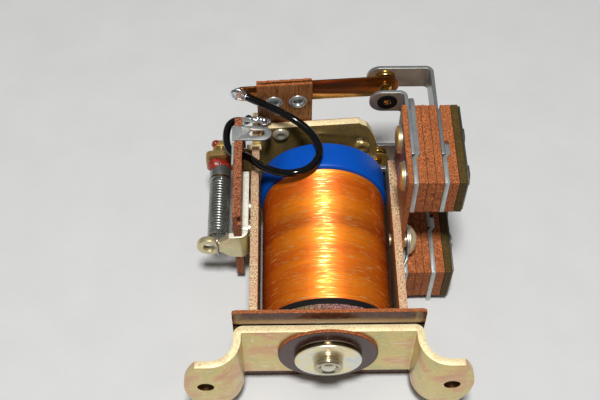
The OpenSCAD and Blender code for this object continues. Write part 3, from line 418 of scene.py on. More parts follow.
def rainbow_zinc():
    """Zinc with the faint yellow and blue of a thin chromate."""
    p = Pattern("rainbow zinc", Metallic=0.7)
    patches = p.noise(5.0, 3.0, 0.6, twist=0.8)
    tones = p.ramp(patches, (0.34, rgb(206, 216, 226)), (0.46, rgb(232, 230, 214)),
                   (0.56, rgb(240, 230, 184)), (0.68, rgb(232, 206, 176)))
    tones = p.mix(p.scratches(5.0, 0.07), tones, (0.9, 0.9, 0.88, 1))
    return p.done(tones, (p.noise(0.4, 3.0), 0.24, 0.42), (p.noise(0.5, 3.0), 0.008))


def lacquer(colour):
    p = Pattern("red lacquer", Coat_Weight=0.35, Coat_Roughness=0.16, Roughness=0.4)
    clouds = p.noise(0.9, 3.0, 0.6)
    return p.done(p.shades(clouds, colour, (0.35, 0.5), (0.65, 1.5)), None, (clouds, 0.05))


def solder():
    p = Pattern("solder", Metallic=1.0)
    lumps = p.noise(0.7, 2.0, 0.5)
    tones = p.ramp(lumps, (0.3, rgb(150, 156, 162)), (0.6, rgb(236, 238, 240)))
    return p.done(tones, (lumps, 0.3, 0.1), (lumps, 0.12))


PLATE_BROWN = rgb(82, 42, 22)
MAKERS = {
    "chromate": lambda c: chromate(),
    "pale chromate": lambda c: chromate("pale chromate", 0.45),
    "sheared": lambda c: sheared(),
    "bright edge": lambda c: bright_edge("bright edge", c.sheared),
    # Near-white cut edge: bright metal with a painted highlight.
    "pale edge": lambda c: bright_edge("pale edge", rgb(252, 246, 228)),
    "fibre edge": lambda c: fibre_edge("fibre edge", c.fibre, c.fibre_dark, 1.3),
    "board edge": lambda c: fibre_edge("board edge", rgb(154, 92, 60), rgb(66, 30, 20), 2.0),
    "olive": lambda c: fibre_edge("olive plate", c.olive, shade(c.olive, 0.3), 0.8),
    "fibre face": lambda c: fibre_face("fibre face", (1, 1, 0.14)),
    "carrier face": lambda c: fibre_face("carrier face", (1, 0.14, 1)),
    "glossy board": lambda c: glossy_board("glossy board", c.phenolic),
    "plate board": lambda c: glossy_board("plate board", PLATE_BROWN, 0.25, 0.12),
    # Plate front: glossy board with a painted shade band and a painted reflection.
    "plate front": lambda c: glossy_board("plate front", PLATE_BROWN, 0.25, 0.1, True),
    "paper": lambda c: paper(),
    "enamel": lambda c: enamel(),
    "blue": lambda c: moulded("blue plastic", c.blue, 0.4, 0.06, 0.22),
    "black": lambda c: moulded("black plastic", c.black, 0.3, 0.3),
    "insulation": lambda c: moulded("black insulation", shade(c.black, 0.2), 0.11, 0.3),
    # Near-black painted shade for the flat ring round each make contact.
    "countersink shade": lambda c: moulded("countersink shade ring", (0.004, 0.004, 0.004, 1), 0.5, 0.4, 0.1),
    "tin": lambda c: plated("tinned metal", c.tin, 0.34, 0.8, specks=0.18),
    "grey tin": lambda c: plated("grey tin", rgb(164, 170, 170), 0.32, 0.8, specks=0.3),
    "dark tin": lambda c: plated("dark tin", rgb(146, 138, 120), 0.36, 0.6, specks=0.3),
    "mirror tin": lambda c: plated("rolled metal", rgb(186, 172, 154), 0.34, 0.7, brushed=True),
    "zinc": lambda c: plated("zinc plate", c.zinc, 0.26, 0.9, rgb(226, 214, 170)),
    # Darker zinc with painted shade and reflection, for the washer's rim.
    "dark zinc painted shade": lambda c: plated("dark zinc painted shade", rgb(132, 112, 84), 0.16, 1.0),
    "rivet zinc": lambda c: plated("rivet zinc", rgb(196, 188, 166), 0.26, 0.5),
    "nut zinc": lambda c: plated("nut zinc", rgb(196, 186, 160), 0.2, 0.95, specks=0.4),
    "rainbow zinc": lambda c: rainbow_zinc(),
    "dark iron": lambda c: plated("dark iron", rgb(120, 116, 108), 0.34, 0.9),
    "olive steel": lambda c: plated("olive steel", rgb(178, 150, 92), 0.26, 0.6, rgb(196, 154, 74)),
    "champagne": lambda c: plated("champagne screw", rgb(226, 206, 164), 0.34, 0.7, rgb(190, 160, 120)),
    "amber screw": lambda c: plated("amber screw", rgb(196, 160, 102), 0.4, 0.75),
    "spring steel": lambda c: plated("spring steel", rgb(166, 169, 164), 0.26, 0.9, specks=0.05),
    "bronze": lambda c: bronze_with_painted_reflection(c.bronze),
    "brass": lambda c: plated("brass", c.brass, 0.18, 1.0, specks=0.4),
    "dark brass": lambda c: plated("dark brass", rgb(120, 92, 44), 0.3, 1.0),
    # Dark brown painted shade for the walls of the ear holes.
    "painted shade bore": lambda c: plated("dark bore", rgb(96, 66, 40), 0.3, 0.9),
    "lacquer": lambda c: lacquer(c.lacquer),
    "solder": lambda c: solder(),
}
FINISHES = {}


def finish(name):
    """The named finish, made when it is first asked for."""
    if name not in FINISHES:
        FINISHES[name] = MAKERS[name](colours())
    return FINISHES[name]


# Modelling helpers: each leaves its object at the origin, with its place in its mesh


def pick(obj):
    bpy.ops.object.select_all(action="DESELECT")
    obj.select_set(True)
    bpy.context.view_layer.objects.active = obj


def settle(obj):
    """Moves the object's place and turn into its mesh."""
    pick(obj)
    bpy.ops.object.transform_apply(location=True, rotation=True, scale=True)


def use_modifier(obj, kind, **values):
    """Adds a modifier, sets it and applies it."""
    pick(obj)
    modifier = obj.modifiers.new(kind.title(), kind)
    for key, value in values.items():
        setattr(modifier, key, value)
    bpy.ops.object.modifier_apply(modifier=modifier.name)


def round_edges(obj, width, segments, angle):
    """Bevels the edges that are sharper than an angle in degrees."""
    use_modifier(obj, "BEVEL", width=width, segments=segments, limit_method="ANGLE",
                 angle_limit=math.radians(angle), use_clamp_overlap=True)


def displace(obj, name, grain, strength, level, depth=2, **limits):
    """Moves the surface in and out by clouds whose grain is given in millimetres."""
    clouds = bpy.data.textures.new(name, "CLOUDS")
    clouds.noise_scale = grain * MM
    clouds.noise_depth = depth
    use_modifier(obj, "DISPLACE", texture=clouds, texture_coords="LOCAL", strength=strength,
                 mid_level=level, **limits)


def close_up(obj, gap=0.002):
    """Merges doubled points and turns the faces outwards."""
    pick(obj)
    bpy.ops.object.mode_set(mode="EDIT")
    bpy.ops.mesh.select_all(action="SELECT")
    bpy.ops.mesh.remove_doubles(threshold=gap * MM)
    bpy.ops.mesh.normals_make_consistent(inside=False)
    bpy.ops.object.mode_set(mode="OBJECT")


def opened(obj):
    """Turns a piece built in the armature's closed place to where it stands at rest."""
    hinge = HINGE * MM
    turn = Matrix.Translation(hinge) @ Matrix.Rotation(OPEN_ANGLE, 4, "Z") @ Matrix.Translation(-hinge)
    obj.matrix_world = turn @ obj.matrix_world
    settle(obj)
    return obj


def turned(profile, place=(0, 0, 0), axis="Y", steps=40):
    """Spins a profile of (radius, length) points, in millimetres, round an axis."""
    bpy.ops.object.select_all(action="DESELECT")
    bpy.ops.mesh.primitive_plane_add(size=MM)
    obj = bpy.context.object
    bpy.ops.object.mode_set(mode="EDIT")
    bpy.ops.mesh.merge(type="CENTER")
    here = Vector((0, 0, 0))
    for number, (radius, length) in enumerate(profile):
        step = Vector((radius, 0, length)) * MM - here
        if number:
            bpy.ops.mesh.extrude_region_move(TRANSFORM_OT_translate={"value": step})
        else:
            bpy.ops.transform.translate(value=step)
        here += step
    bpy.ops.mesh.select_all(action="SELECT")
    bpy.ops.mesh.spin(steps=steps, angle=math.tau, center=(0, 0, 0), axis=(0, 0, 1))
    bpy.ops.object.mode_set(mode="OBJECT")
    close_up(obj)
    turns = {"X": (0, math.pi / 2, 0), "Y": (-math.pi / 2, 0, 0)}
    obj.rotation_euler = Euler(turns[axis])
    obj.location = Vector(place) * MM
    settle(obj)
    return obj


def worked_copy(node, edge=0, segments=2):
    """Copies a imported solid, cleans its mesh and rounds its sharp edges."""
    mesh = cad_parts[node].data.copy()
    obj = bpy.data.objects.new(node + "_copy", mesh)
    bpy.context.scene.collection.objects.link(obj)
    pick(obj)
    if mesh.has_custom_normals:
        bpy.ops.mesh.customdata_custom_splitnormals_clear()
    bpy.ops.object.mode_set(mode="EDIT")
    bpy.ops.mesh.select_all(action="SELECT")
    bpy.ops.mesh.remove_doubles(threshold=0.001 * MM)
    bpy.ops.mesh.dissolve_limited(angle_limit=math.radians(0.8))
    bpy.ops.object.mode_set(mode="OBJECT")
    if edge:
        round_edges(obj, edge, segments, 32)
    return obj


def box(low, high):
    """A block between two corners in millimetres."""
    low, high = Vector(low), Vector(high)
    bpy.ops.object.select_all(action="DESELECT")
    bpy.ops.mesh.primitive_cube_add(size=1, location=(low + high) / 2 * MM)
    obj = bpy.context.object
    obj.scale = (high - low) * MM
    settle(obj)
    return obj


def ball(place, radius, scale, fineness=4):
    """A stretched ball, its place and radius in millimetres."""
    bpy.ops.object.select_all(action="DESELECT")
    bpy.ops.mesh.primitive_ico_sphere_add(subdivisions=fineness, radius=radius * MM,
                                          location=Vector(place) * MM)
    obj = bpy.context.object
    obj.scale = scale
    settle(obj)
    return obj


def joined(parts):
    """Joins several objects into the first."""
    bpy.ops.object.select_all(action="DESELECT")
    for part in parts:
        part.select_set(True)
    bpy.context.view_layer.objects.active = parts[0]
    bpy.ops.object.join()
    return parts[0]


def torn(obj, axis, reach, grain, voxel=0.24):
    """Gives the cut edges of a laminated sheet, thick along the axis, their rough outline."""
    use_modifier(obj, "REMESH", mode="VOXEL", voxel_size=voxel * MM)
    edges = "cut edges"
    group = obj.vertex_groups.new(name=edges)
    for vertex in obj.data.vertices:
        away = 1.0 - abs(vertex.normal.dot(AXES[axis]))
        group.add([vertex.index], max(0.0, min(1.0, away * 1.4 - 0.2)), "REPLACE")
    for number, (scale, share) in enumerate(((grain, 1.0), (grain * 0.35, 0.45))):
        displace(obj, f"tear {number}", scale, reach * share, 0.62, 1, vertex_group=edges,
                 direction="NORMAL")
    return obj


def flat_across(axis, left=-100):
    """Test for faces that look along the axis, to the right of a place in millimetres."""
    return lambda face: abs(face.normal.dot(AXES[axis])) > 0.7 and face.center.x > left * MM


def not_flat(axis, limit):
    """Test for the cut edges of a sheet that is thick along the axis."""
    return lambda face: abs(face.normal.dot(AXES[axis])) < limit


def paint(obj, look, test):
    """Gives the faces that pass the test a further finish."""
    obj.data.materials.append(finish(look))
    number = len(obj.data.materials) - 1
    for face in obj.data.polygons:
        if test(face):
            face.material_index = number


def hand_over(obj, name, body, look, nodes=(), smooth=35):
    """Names a finished piece, shades it, gives it its finish and lets it ride on its body."""
    settle(obj)
    obj.name = name
    obj.data.name = name
    bpy.ops.object.shade_smooth_by_angle(angle=math.radians(smooth))
    if obj.data.materials:
        obj.data.materials[0] = finish(look)
    else:
        obj.data.materials.append(finish(look))
    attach(obj, body)
    if nodes:
        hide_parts(*nodes)
    return obj


def dressed(node, name, body, look, edge, segments=2):
    """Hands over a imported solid's copy with rounded edges."""
    return hand_over(worked_copy(node, edge, segments), name, body, look, [node])


def sheet(node, name, body, axis, tear, limit=0.7, look="carrier face", edge="fibre edge",
          cut=None):
    """Hands over a packed laminate's copy with torn cut edges in a finish of their own."""
    obj = worked_copy(node)
    if cut:
        use_modifier(obj, "BOOLEAN", object=cut, operation="DIFFERENCE", solver="EXACT")
        bpy.data.objects.remove(cut)
    hand_over(torn(obj, axis, *tear), name, body, look, [node])
    if edge:
        paint(obj, edge, not_flat(axis, limit))
    return obj


def smooth_route(points, between=4):
    """A round curve through the points, with so many steps between each two."""
    line = [Vector(p) for p in points]
    route = []
    for i in range(len(line) - 1):
        a, b, c, d = line[max(i - 1, 0)], line[i], line[i + 1], line[min(i + 2, len(line) - 1)]
        for k in range(between):
            t = k / between
            route.append(0.5 * (2 * b + (c - a) * t + (2 * a - 5 * b + 4 * c - d) * t * t
                                + (3 * b - a - 3 * c + d) * t * t * t))
    route.append(line[-1])
    return route


def wire(route, width, corners=4):
    """A round wire along a route in millimetres, made from a curve and closed at its ends."""
    curve = bpy.data.curves.new("wire", "CURVE")
    curve.dimensions = "3D"
    curve.bevel_depth = width / 2
    curve.bevel_resolution = corners
    curve.use_fill_caps = True
    spline = curve.splines.new("POLY")
    spline.points.add(len(route) - 1)
    for point, place in zip(spline.points, route):
        point.co = (*(Vector(place) * MM), 1)
    obj = bpy.data.objects.new("wire", curve)
    bpy.context.scene.collection.objects.link(obj)
    pick(obj)
    bpy.ops.object.convert(target="MESH")
    obj = bpy.context.object
    close_up(obj, 0.001)
    return obj


def soft_wire(route, width, corners, name, look):
    """A wire, named, smoothly shaded and in its finish."""
    obj = wire(route, width, corners)
    settle(obj)
    obj.name = obj.data.name = name
    bpy.ops.object.shade_smooth()
    obj.data.materials.append(finish(look))
    return obj


class Step:
    """What every step of the build has in common."""

    bl_options = {"REGISTER", "UNDO"}


class RELAY_OT_bracket(Step, bpy.types.Operator):
    """Stamped mounting bracket with sheared, slightly rounded edges"""

    bl_idname = "relay.bracket"
    bl_label = "Mounting bracket"

    def execute(self, context):
        obj = dressed("mounting_bracket", "bracket", "frame", "chromate",
                      sizes().steel_edge, 3)
        paint(obj, "bright edge", flat_across("Z"))
        # Painted shade: the ear holes' walls are painted dark brown, as the shade inside the holes.
        paint(obj, "painted shade bore", self.in_ear_hole)
        return {"FINISHED"}

    def in_ear_hole(self, face):
        away = Vector((abs(face.center.x) / MM - EAR_HOLE_X, face.center.z / MM)).length
        return away < EAR_HOLE_REACH and abs(face.normal.y) < 0.5


class RELAY_OT_centre_fixing(Step, bpy.types.Operator):
    """Fibre washer, steel washer, round nut and threaded stud in the bracket's recess"""

    bl_idname = "relay.centre_fixing"
    bl_label = "Centre fixing"

    def execute(self, context):
        fibre = turned([(1.9, 0), (10.75, 0), (10.85, 0.1), (10.85, 0.75), (10.7, 0.85), (1.9, 0.85),
                        (1.9, 0)], (0, FIBRE_WASHER_Y, 0), steps=96)
        hand_over(fibre, "centre_fibre_washer", "frame", "glossy board", ["fibre_washer"])
        paint(fibre, "fibre edge", not_flat("Y", 0.5))
        washer = turned([(1.9, 0.1), (2.1, 0), (7.0, 0), (7.25, 0.08), (7.35, 0.3), (7.35, 1.3),
                         (7.2, 1.5), (1.9, 1.5), (1.9, 0.1)], (0, STEEL_WASHER_Y, 0), steps=96)
        hand_over(washer, "centre_steel_washer", "frame", "rainbow zinc", ["steel_washer"], 28)
        # Painted shade and reflection: the washer's rim is a darker zinc, standing in for the dark things it
        # reflects and the fibre washer's shadow.
        paint(washer, "dark zinc painted shade", not_flat("Y", 0.35))
        nut = turned([(1.75, 1.8), (1.78, 0.6), (2.35, 0.04), (2.6, 0), (2.95, 0.06), (3.13, 0.3),
                      (3.15, 0.8), (3.02, 0.86), (3.02, 1.0), (3.15, 1.06), (3.15, 1.8), (1.75, 1.8)],
                     (0, NUT_Y, 0), steps=72)
        hand_over(nut, "round_nut", "frame", "nut zinc", ["core_nut"], 28)
        thread = [(0, -0.2), (0.6, -0.18), (1.1, -0.08), (1.42, 0.12)]
        for turn in range(4):
            thread += [(1.52, 0.2 + turn * 0.35), (1.72, 0.38 + turn * 0.35)]
        stud = turned(thread + [(1.7, 8.4), (0, 8.4)], (0, NUT_Y, 0), steps=48)
        hand_over(stud, "stud_end", "frame", "zinc", smooth=40)
        return {"FINISHED"}


class RELAY_OT_yoke(Step, bpy.types.Operator):
    """U-shaped yoke with the grain of its sheared edges, and the glossy plate before it"""

    bl_idname = "relay.yoke"
    bl_label = "Yoke and insulating plate"

    def execute(self, context):
        plate = sheet("insulating_plate", "insulating_sheet", "frame", "Y",
                      (sizes().fibre_tear * 0.35, 0.8, 0.2), 0.6, "plate board")
        # The plate's front gets the finish with the painted shade band and painted reflection.
        paint(plate, "plate front", lambda face: face.normal.y < -0.6)
        yoke = dressed("yoke", "yoke_frame", "frame", "chromate", sizes().steel_edge, 3)
        paint(yoke, "sheared", flat_across("Z"))
        return {"FINISHED"}


class RELAY_OT_coil(Step, bpy.types.Operator):
    """Bobbin with its front flange, winding with its turns, and the blue rear cap"""

    bl_idname = "relay.coil"
    bl_label = "Coil"

    def execute(self, context):
        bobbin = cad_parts["bobbin"].data.materials
        bobbin.clear()
        bobbin.append(finish("black"))
        flange = turned([(6.2, 0), (14.1, 0), (14.35, 0.15), (14.4, 0.4), (14.4, 0.9), (14.3, 1.12),
                         (14.0, 1.2), (6.2, 1.2), (6.2, 0)], (0, FLANGE_Y, 0), steps=128)
        hand_over(flange, "bobbin_flange", "frame", "black", smooth=30)
        packing = turned([(0.5, 0), (13.9, 0), (14.1, 0.15), (14.1, 1.15), (0.5, 1.15), (0.5, 0)],
                         (0, PACKING_Y, 0), steps=128)
        bpy.ops.object.mode_set(mode="EDIT")
        bpy.ops.mesh.select_all(action="SELECT")
        bpy.ops.mesh.bisect(plane_co=(0, 0, PACKING_LOW_Z * MM), plane_no=(0, 0, 1), clear_inner=True,
                            use_fill=True)
        bpy.ops.object.mode_set(mode="OBJECT")
        hand_over(packing, "paper_packing", "frame", "paper")
        winding = turned(self.turns(), (0, WINDING_Y, 0), steps=112)
        hand_over(winding, "amber_winding", "frame", "enamel", ["winding"], 20)
        cap = turned([(6.1, 0), (14.2, 0), (14.65, 0.08), (14.9, 0.4), (14.95, 0.9), (14.95, 6.2),
                      (14.8, 6.7), (14.35, 6.95), (13.8, 7.0), (9.4, 7.0), (9.1, 6.7), (6.1, 6.7), (6.1, 0)],
                     (0, CAP_Y, 0), steps=128)
        hand_over(cap, "blue_cap", "frame", "blue", ["rear_cap"], 50)
        core = turned([(0, -41.7), (4.75, -41.7), (4.75, 2.45), (7.5, 2.45), (7.85, 2.6), (7.95, 2.95),
                       (7.95, 5.2), (7.8, 5.6), (0, 5.65)], (0, POLE_HEAD_Y, 0), steps=72)
        hand_over(core, "iron_core", "frame", "dark iron", ["core"], 30)
        return {"FINISHED"}

    def turns(self):
        """The winding's profile, slightly wavy, with a groove between each two turns."""
        pitch, relief = sizes().wire_pitch / MM, sizes().wire_relief / MM
        inner, outer, end = 6.1, WINDING_RADIUS - 0.5, TURNS_LENGTH + 0.1
        profile = [(inner, 0), (outer, 0)]
        count = int(TURNS_LENGTH / pitch)
        for turn in range(count):
            start = 0.05 + turn * pitch
            sag = 0.012 * math.sin(turn * 0.11) + 0.008 * math.sin(turn * 0.43 + 1.0) - 0.02
            ends = min(1.0, turn / 6, (count - 1 - turn) / 6)
            radius = WINDING_RADIUS + sag - 0.3 * (1 - ends)
            profile += [(radius - relief, start), (radius, start + pitch / 2)]
        return profile + [(outer, end), (inner, end)]


class RELAY_OT_terminal_board(Step, bpy.types.Operator):
    """Fibre terminal board at the left with its rivets, its tags and the spring's bracket"""

    bl_idname = "relay.terminal_board"
    bl_label = "Terminal board"

    def execute(self, context):
        sheet("terminal_board", "side_board", "frame", "X", (sizes().fibre_tear * 0.5, 0.9, 0.2),
              edge="board edge", cut=box(*BOARD_NOTCH))
        dressed("slotted_tags", "slot_tags", "frame", "tin", sizes().tin_edge)
        tag = dressed("soldered_tag", "wired_tag", "frame", "tin", 0.07 * MM)
        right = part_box("soldered_tag")[1].x
        paint(tag, "solder", lambda face: face.center.x > right - 2 * MM)
        rivets = []
        for y in BOARD_RIVETS_Y:
            rivets.append(turned([(0, -0.75), (0.8, -0.7), (1.5, -0.5), (2.0, -0.15), (2.1, 0), (1.2, 0),
                                  (1.2, 5.7), (0, 5.7)], (BOARD_OUTER_X, y, 0), "X"))
            rivets.append(turned([(1.2, 0), (2.1, 0), (2.1, 0.3), (1.8, 0.6), (1.2, 0.65), (1.2, 0)],
                                 (BOARD_INNER_X, y, 0), "X"))
        hand_over(joined(rivets), "side_rivets", "frame", "zinc", ["board_rivets"])
        bracket = dressed("spring_bracket", "spring_arm", "frame", "pale chromate",
                          sizes().steel_edge * 0.8)
        # Part real, part painted highlight: the spring arm's cut edges are bright metal, painted near white
        # like a highlight.
        paint(bracket, "pale edge", flat_across("Z", SPRING_EAR_X))
        return {"FINISHED"}


class RELAY_OT_contact_stacks(Step, bpy.types.Operator):
    """Carrier, terminal strips, sawn fibre spacers, clamp plates, nut plates, screws and nuts"""

    bl_idname = "relay.contact_stacks"
    bl_label = "Contact stacks"

    def execute(self, context):
        tear = sizes().fibre_tear
        sheet("contact_carrier", "carrier_sheet", "frame", "X", (tear * 0.5, 1.0, 0.2))
        for pole in STACKS:
            self.spacers(pole, tear)
            sheet(pole + "_cover", pole + "_fibre_cover", "frame", "X", (tear, 1.2), 0.8)
            sheet(pole + "_clamp_plate", pole + "_olive_clamp", "frame", "X", (tear * 0.7, 1.5),
                  look="olive", edge=None)
            for part in ("make_strip", "break_strip"):
                dressed(f"{pole}_{part}", f"{pole}_{part}_tin", "frame", "tin",
                        sizes().tin_edge)
            dressed(pole + "_nut_plate", pole + "_nut_backing", "frame", "dark iron",
                    0.08 * MM)
        self.fasten()
        return {"FINISHED"}

    def spacers(self, pole, tear):
        """Three layers; the innermost is thinner where it passes the carrier."""
        front, low = STACKS[pole]
        high = low + STACK_HEIGHT
        inner_end = LAYERS_X[0]
        layers = [joined([box((STACK_X, front, low), (inner_end, CARRIER_Y, high)),
                          box((CARRIER_X, CARRIER_Y - 0.4, low), (inner_end, STACK_BACK_Y, high))])]
        layers += [box((x, front, low), (x + LAYER_THICKNESS, STACK_BACK_Y, high)) for x in LAYERS_X]
        spacers = joined([torn(layer, "X", tear, 1.3) for layer in layers])
        hand_over(spacers, pole + "_fibre_spacers", "frame", "carrier face", [pole + "_spacers"])
        paint(spacers, "fibre edge", not_flat("X", 0.8))

    def fasten(self):
        heads, washers, nuts = [], [], []
        high, low = POLE_Z.values()
        for y in UPPER_SCREWS_Y:
            heads.append(turned([(0, 0), (2.2, 0.02), (2.8, 0.12), (3.05, 0.35), (3.1, 0.6), (3.1, 0.85),
                                 (1.4, 0.85), (1.4, 14.9), (1.2, 15.1), (0, 15.1)],
                                (SCREW_HEAD_X, y, high), "X"))
            washers.append(turned([(1.4, 0), (3.3, 0), (3.4, 0.08), (3.4, 0.27), (3.3, 0.35), (1.4, 0.35),
                                   (1.4, 0)], (SCREW_WASHER_X, y, high), "X"))
            nuts.append(self.nut((SCREW_NUT_X, y, high)))
        hand_over(joined(heads), "stack_screws", "frame", "amber screw", ["upper_screws"])
        hand_over(joined(washers), "stack_washers", "frame", "tin", ["upper_screw_washers"])
        hand_over(joined(nuts), "stack_nuts", "frame", "dark iron", ["upper_nuts"])
        ends = [turned([(0, 0), (1.2, 0), (1.4, 0.2), (1.4, 14.8), (2.3, 14.8), (2.5, 15.0), (2.5, 15.6),
                        (2.2, 15.8), (0, 15.8)], (LOWER_SCREW_X, y, low), "X") for y in LOWER_SCREWS_Y]
        hand_over(joined(ends), "lower_stack_screws", "frame", "dark iron", ["lower_screws"])

    def nut(self, place):
        """A six-sided nut, chamfered at its corners."""
        bpy.ops.object.select_all(action="DESELECT")
        bpy.ops.mesh.primitive_cylinder_add(
            vertices=6, radius=2.5 * MM, depth=1.0 * MM, location=Vector(place) * MM,
            rotation=(0, math.pi / 2, 0),
        )
        obj = bpy.context.object
        settle(obj)
        round_edges(obj, 0.16 * MM, 3, 40)
        return obj


class RELAY_OT_carrier_screw(Step, bpy.types.Operator):
    """Round-headed, slotted screw of the carrier and its thin formed washer"""

    bl_idname = "relay.carrier_screw"
    bl_label = "Carrier screw"

    def execute(self, context):
        head_lift = 0.65
        screw = worked_copy("carrier_screw", 0.1 * MM)
        for vertex in screw.data.vertices:
            if vertex.co.x > CARRIER_HEAD_X * MM:
                vertex.co.x += head_lift * MM
        hand_over(screw, "carrier_bolt", "frame", "champagne", ["carrier_screw"], 30)
        axis, rim, slope, dish = Vector(CARRIER_SCREW) * MM, 7.5, 3.5, 0.6
        washer = worked_copy("formed_washer", 0.05 * MM)
        for vertex in washer.data.vertices:
            away = (Vector((vertex.co.y, vertex.co.z)) - axis).length / MM
            vertex.co.x += dish * MM * max(0.0, min(1.0, (rim - away) / slope))
        hand_over(washer, "tailed_washer", "frame", "tin", ["formed_washer"])
        return {"FINISHED"}


class RELAY_OT_fixed_contacts(Step, bpy.types.Operator):
    """Make and break brackets of both poles with their contact buttons"""

    bl_idname = "relay.fixed_contacts"
    bl_label = "Fixed contacts"

    def execute(self, context):
        edge = sizes().tin_edge
        for pole, z in POLE_Z.items():
            for part, look, face in (("make", "tin", "dark tin"), ("break", "grey tin", "mirror tin")):
                arm = dressed(f"{pole}_{part}_bracket", f"{pole}_{part}_arm", "frame", look,
                              edge, 3)
                paint(arm, face, flat_across("Y"))
            front_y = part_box(pole + "_make_button")[0].y / MM
            # Painted shade: a flat, near-black ring round the contact stands in for the shade inside a
            # countersink.
            ring = turned([(0.8, 0), (2.2, 0), (2.3, 0.1), (2.3, 0.22), (0.8, 0.22), (0.8, 0)],
                          (CONTACT_X, front_y + 0.03, z))
            hand_over(ring, pole + "_make_ring", "frame", "countersink shade")
            button = turned([(0, -0.25), (0.45, -0.22), (0.85, -0.05), (1.05, 0.2), (1.05, 1.0), (1.7, 1.0),
                             (1.8, 1.1), (1.8, 1.7), (1.6, 1.86), (0, 1.9)], (CONTACT_X, front_y, z))
            hand_over(button, pole + "_make_contact", "frame", "brass",
                      [pole + "_make_button"])
            low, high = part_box(pole + "_break_button")
            head = 1.2
            stop = turned([(0, 0), (1.7, 0.03), (2.25, 0.2), (2.45, 0.5), (2.5, head), (1.05, head),
                           (1.05, head + 1.1), (0.6, head + 1.3), (0, head + 1.32)],
                          ((low.x + high.x) / 2 / MM, low.y / MM, z), steps=48)
            hand_over(stop, pole + "_break_contact", "frame", "brass",
                      [pole + "_break_button"])
        return {"FINISHED"}


class RELAY_OT_armature(Step, bpy.types.Operator):
    """Clapper plate with its rivets and the insulating card behind it"""

    bl_idname = "relay.armature"
    bl_label = "Armature"

    def execute(self, context):
        plate = dressed("armature", "clapper", "armature", "olive steel",
                        sizes().steel_edge, 3)
        paint(plate, "bright edge", flat_across("Z", ARMATURE_FACE_X))
        heads = []
        for x, z in CLAPPER_RIVETS:
            head = turned([(0.0, 0.35), (0.5, 0.32), (0.8, 0.1), (1.15, 0), (1.6, 0.1), (1.95, 0.4),
                           (2.05, 0.7), (1.0, 0.7), (1.0, 2.8), (0, 2.8)], (x, ARMATURE_Y - 0.7, z))
            heads.append(opened(head))
        hand_over(heads.pop(), "right_rivet", "armature", "olive steel", smooth=50)
        hand_over(joined(heads), "clapper_rivets", "armature", "rivet zinc",
                  ["armature_rivets"], 50)
        sheet("insulating_card", "fibre_card", "armature", "Y", (sizes().fibre_tear * 0.3, 0.8, 0.18),
              look="fibre face")
        return {"FINISHED"}


class RELAY_OT_contact_block(Step, bpy.types.Operator):
    """Two fibre plates held by eyelets, with the bronze blades between them"""

    bl_idname = "relay.contact_block"
    bl_label = "Contact block"

    def execute(self, context):
        for node, name in (("block_front", "block_plate_front"), ("block_rear", "block_plate_rear")):
            sheet(node, name, "armature", "Y", (sizes().fibre_tear * 0.4, 0.8, 0.18), look="fibre face")
        end = BLOCK_BACK_Y - BLOCK_Y
        rear = [(1.6, end), (2.1, end), (1.9, end + 0.25), (1.5, end + 0.37), (1.15, end + 0.35)]
        rolled = [(1.15, -0.1), (1.35, -0.33), (1.6, -0.38), (1.95, -0.25), (2.1, 0.0), (1.6, 0.0)]
        plain = [(1.15, 0.02), (1.6, 0.02)]
        eyelets = [opened(turned(rear[-1:] + front + rear, (x, BLOCK_Y, z)))
                   for x in EYELETS_X for z, front in zip(EYELETS_Z, (rolled, plain))]
        hand_over(joined(eyelets), "block_rings", "armature", "tin", ["block_eyelets"], 55)
        dome = [(0, 1.0), (0.5, 0.97), (1.0, 0.86), (1.35, 0.7), (1.5, 0.5), (1.5, 0.0), (1.05, 0.0)]
        depth = BLADE_BACK_Y - BLADE_Y
        both = [(radius, -out) for radius, out in dome]
        both += [(radius, depth + out) for radius, out in reversed(dome)]
        for pole, z in POLE_Z.items():
            # The blades take the bronze with a painted reflection.
            dressed(pole + "_blade", pole + "_spring_blade", "armature", "bronze", 0.06 * MM)
            hand_over(opened(turned(both, (CONTACT_X, BLADE_Y, z))), pole + "_moving_dome", "armature",
                      "brass", [pole + "_moving_contact"], 30)
        return {"FINISHED"}


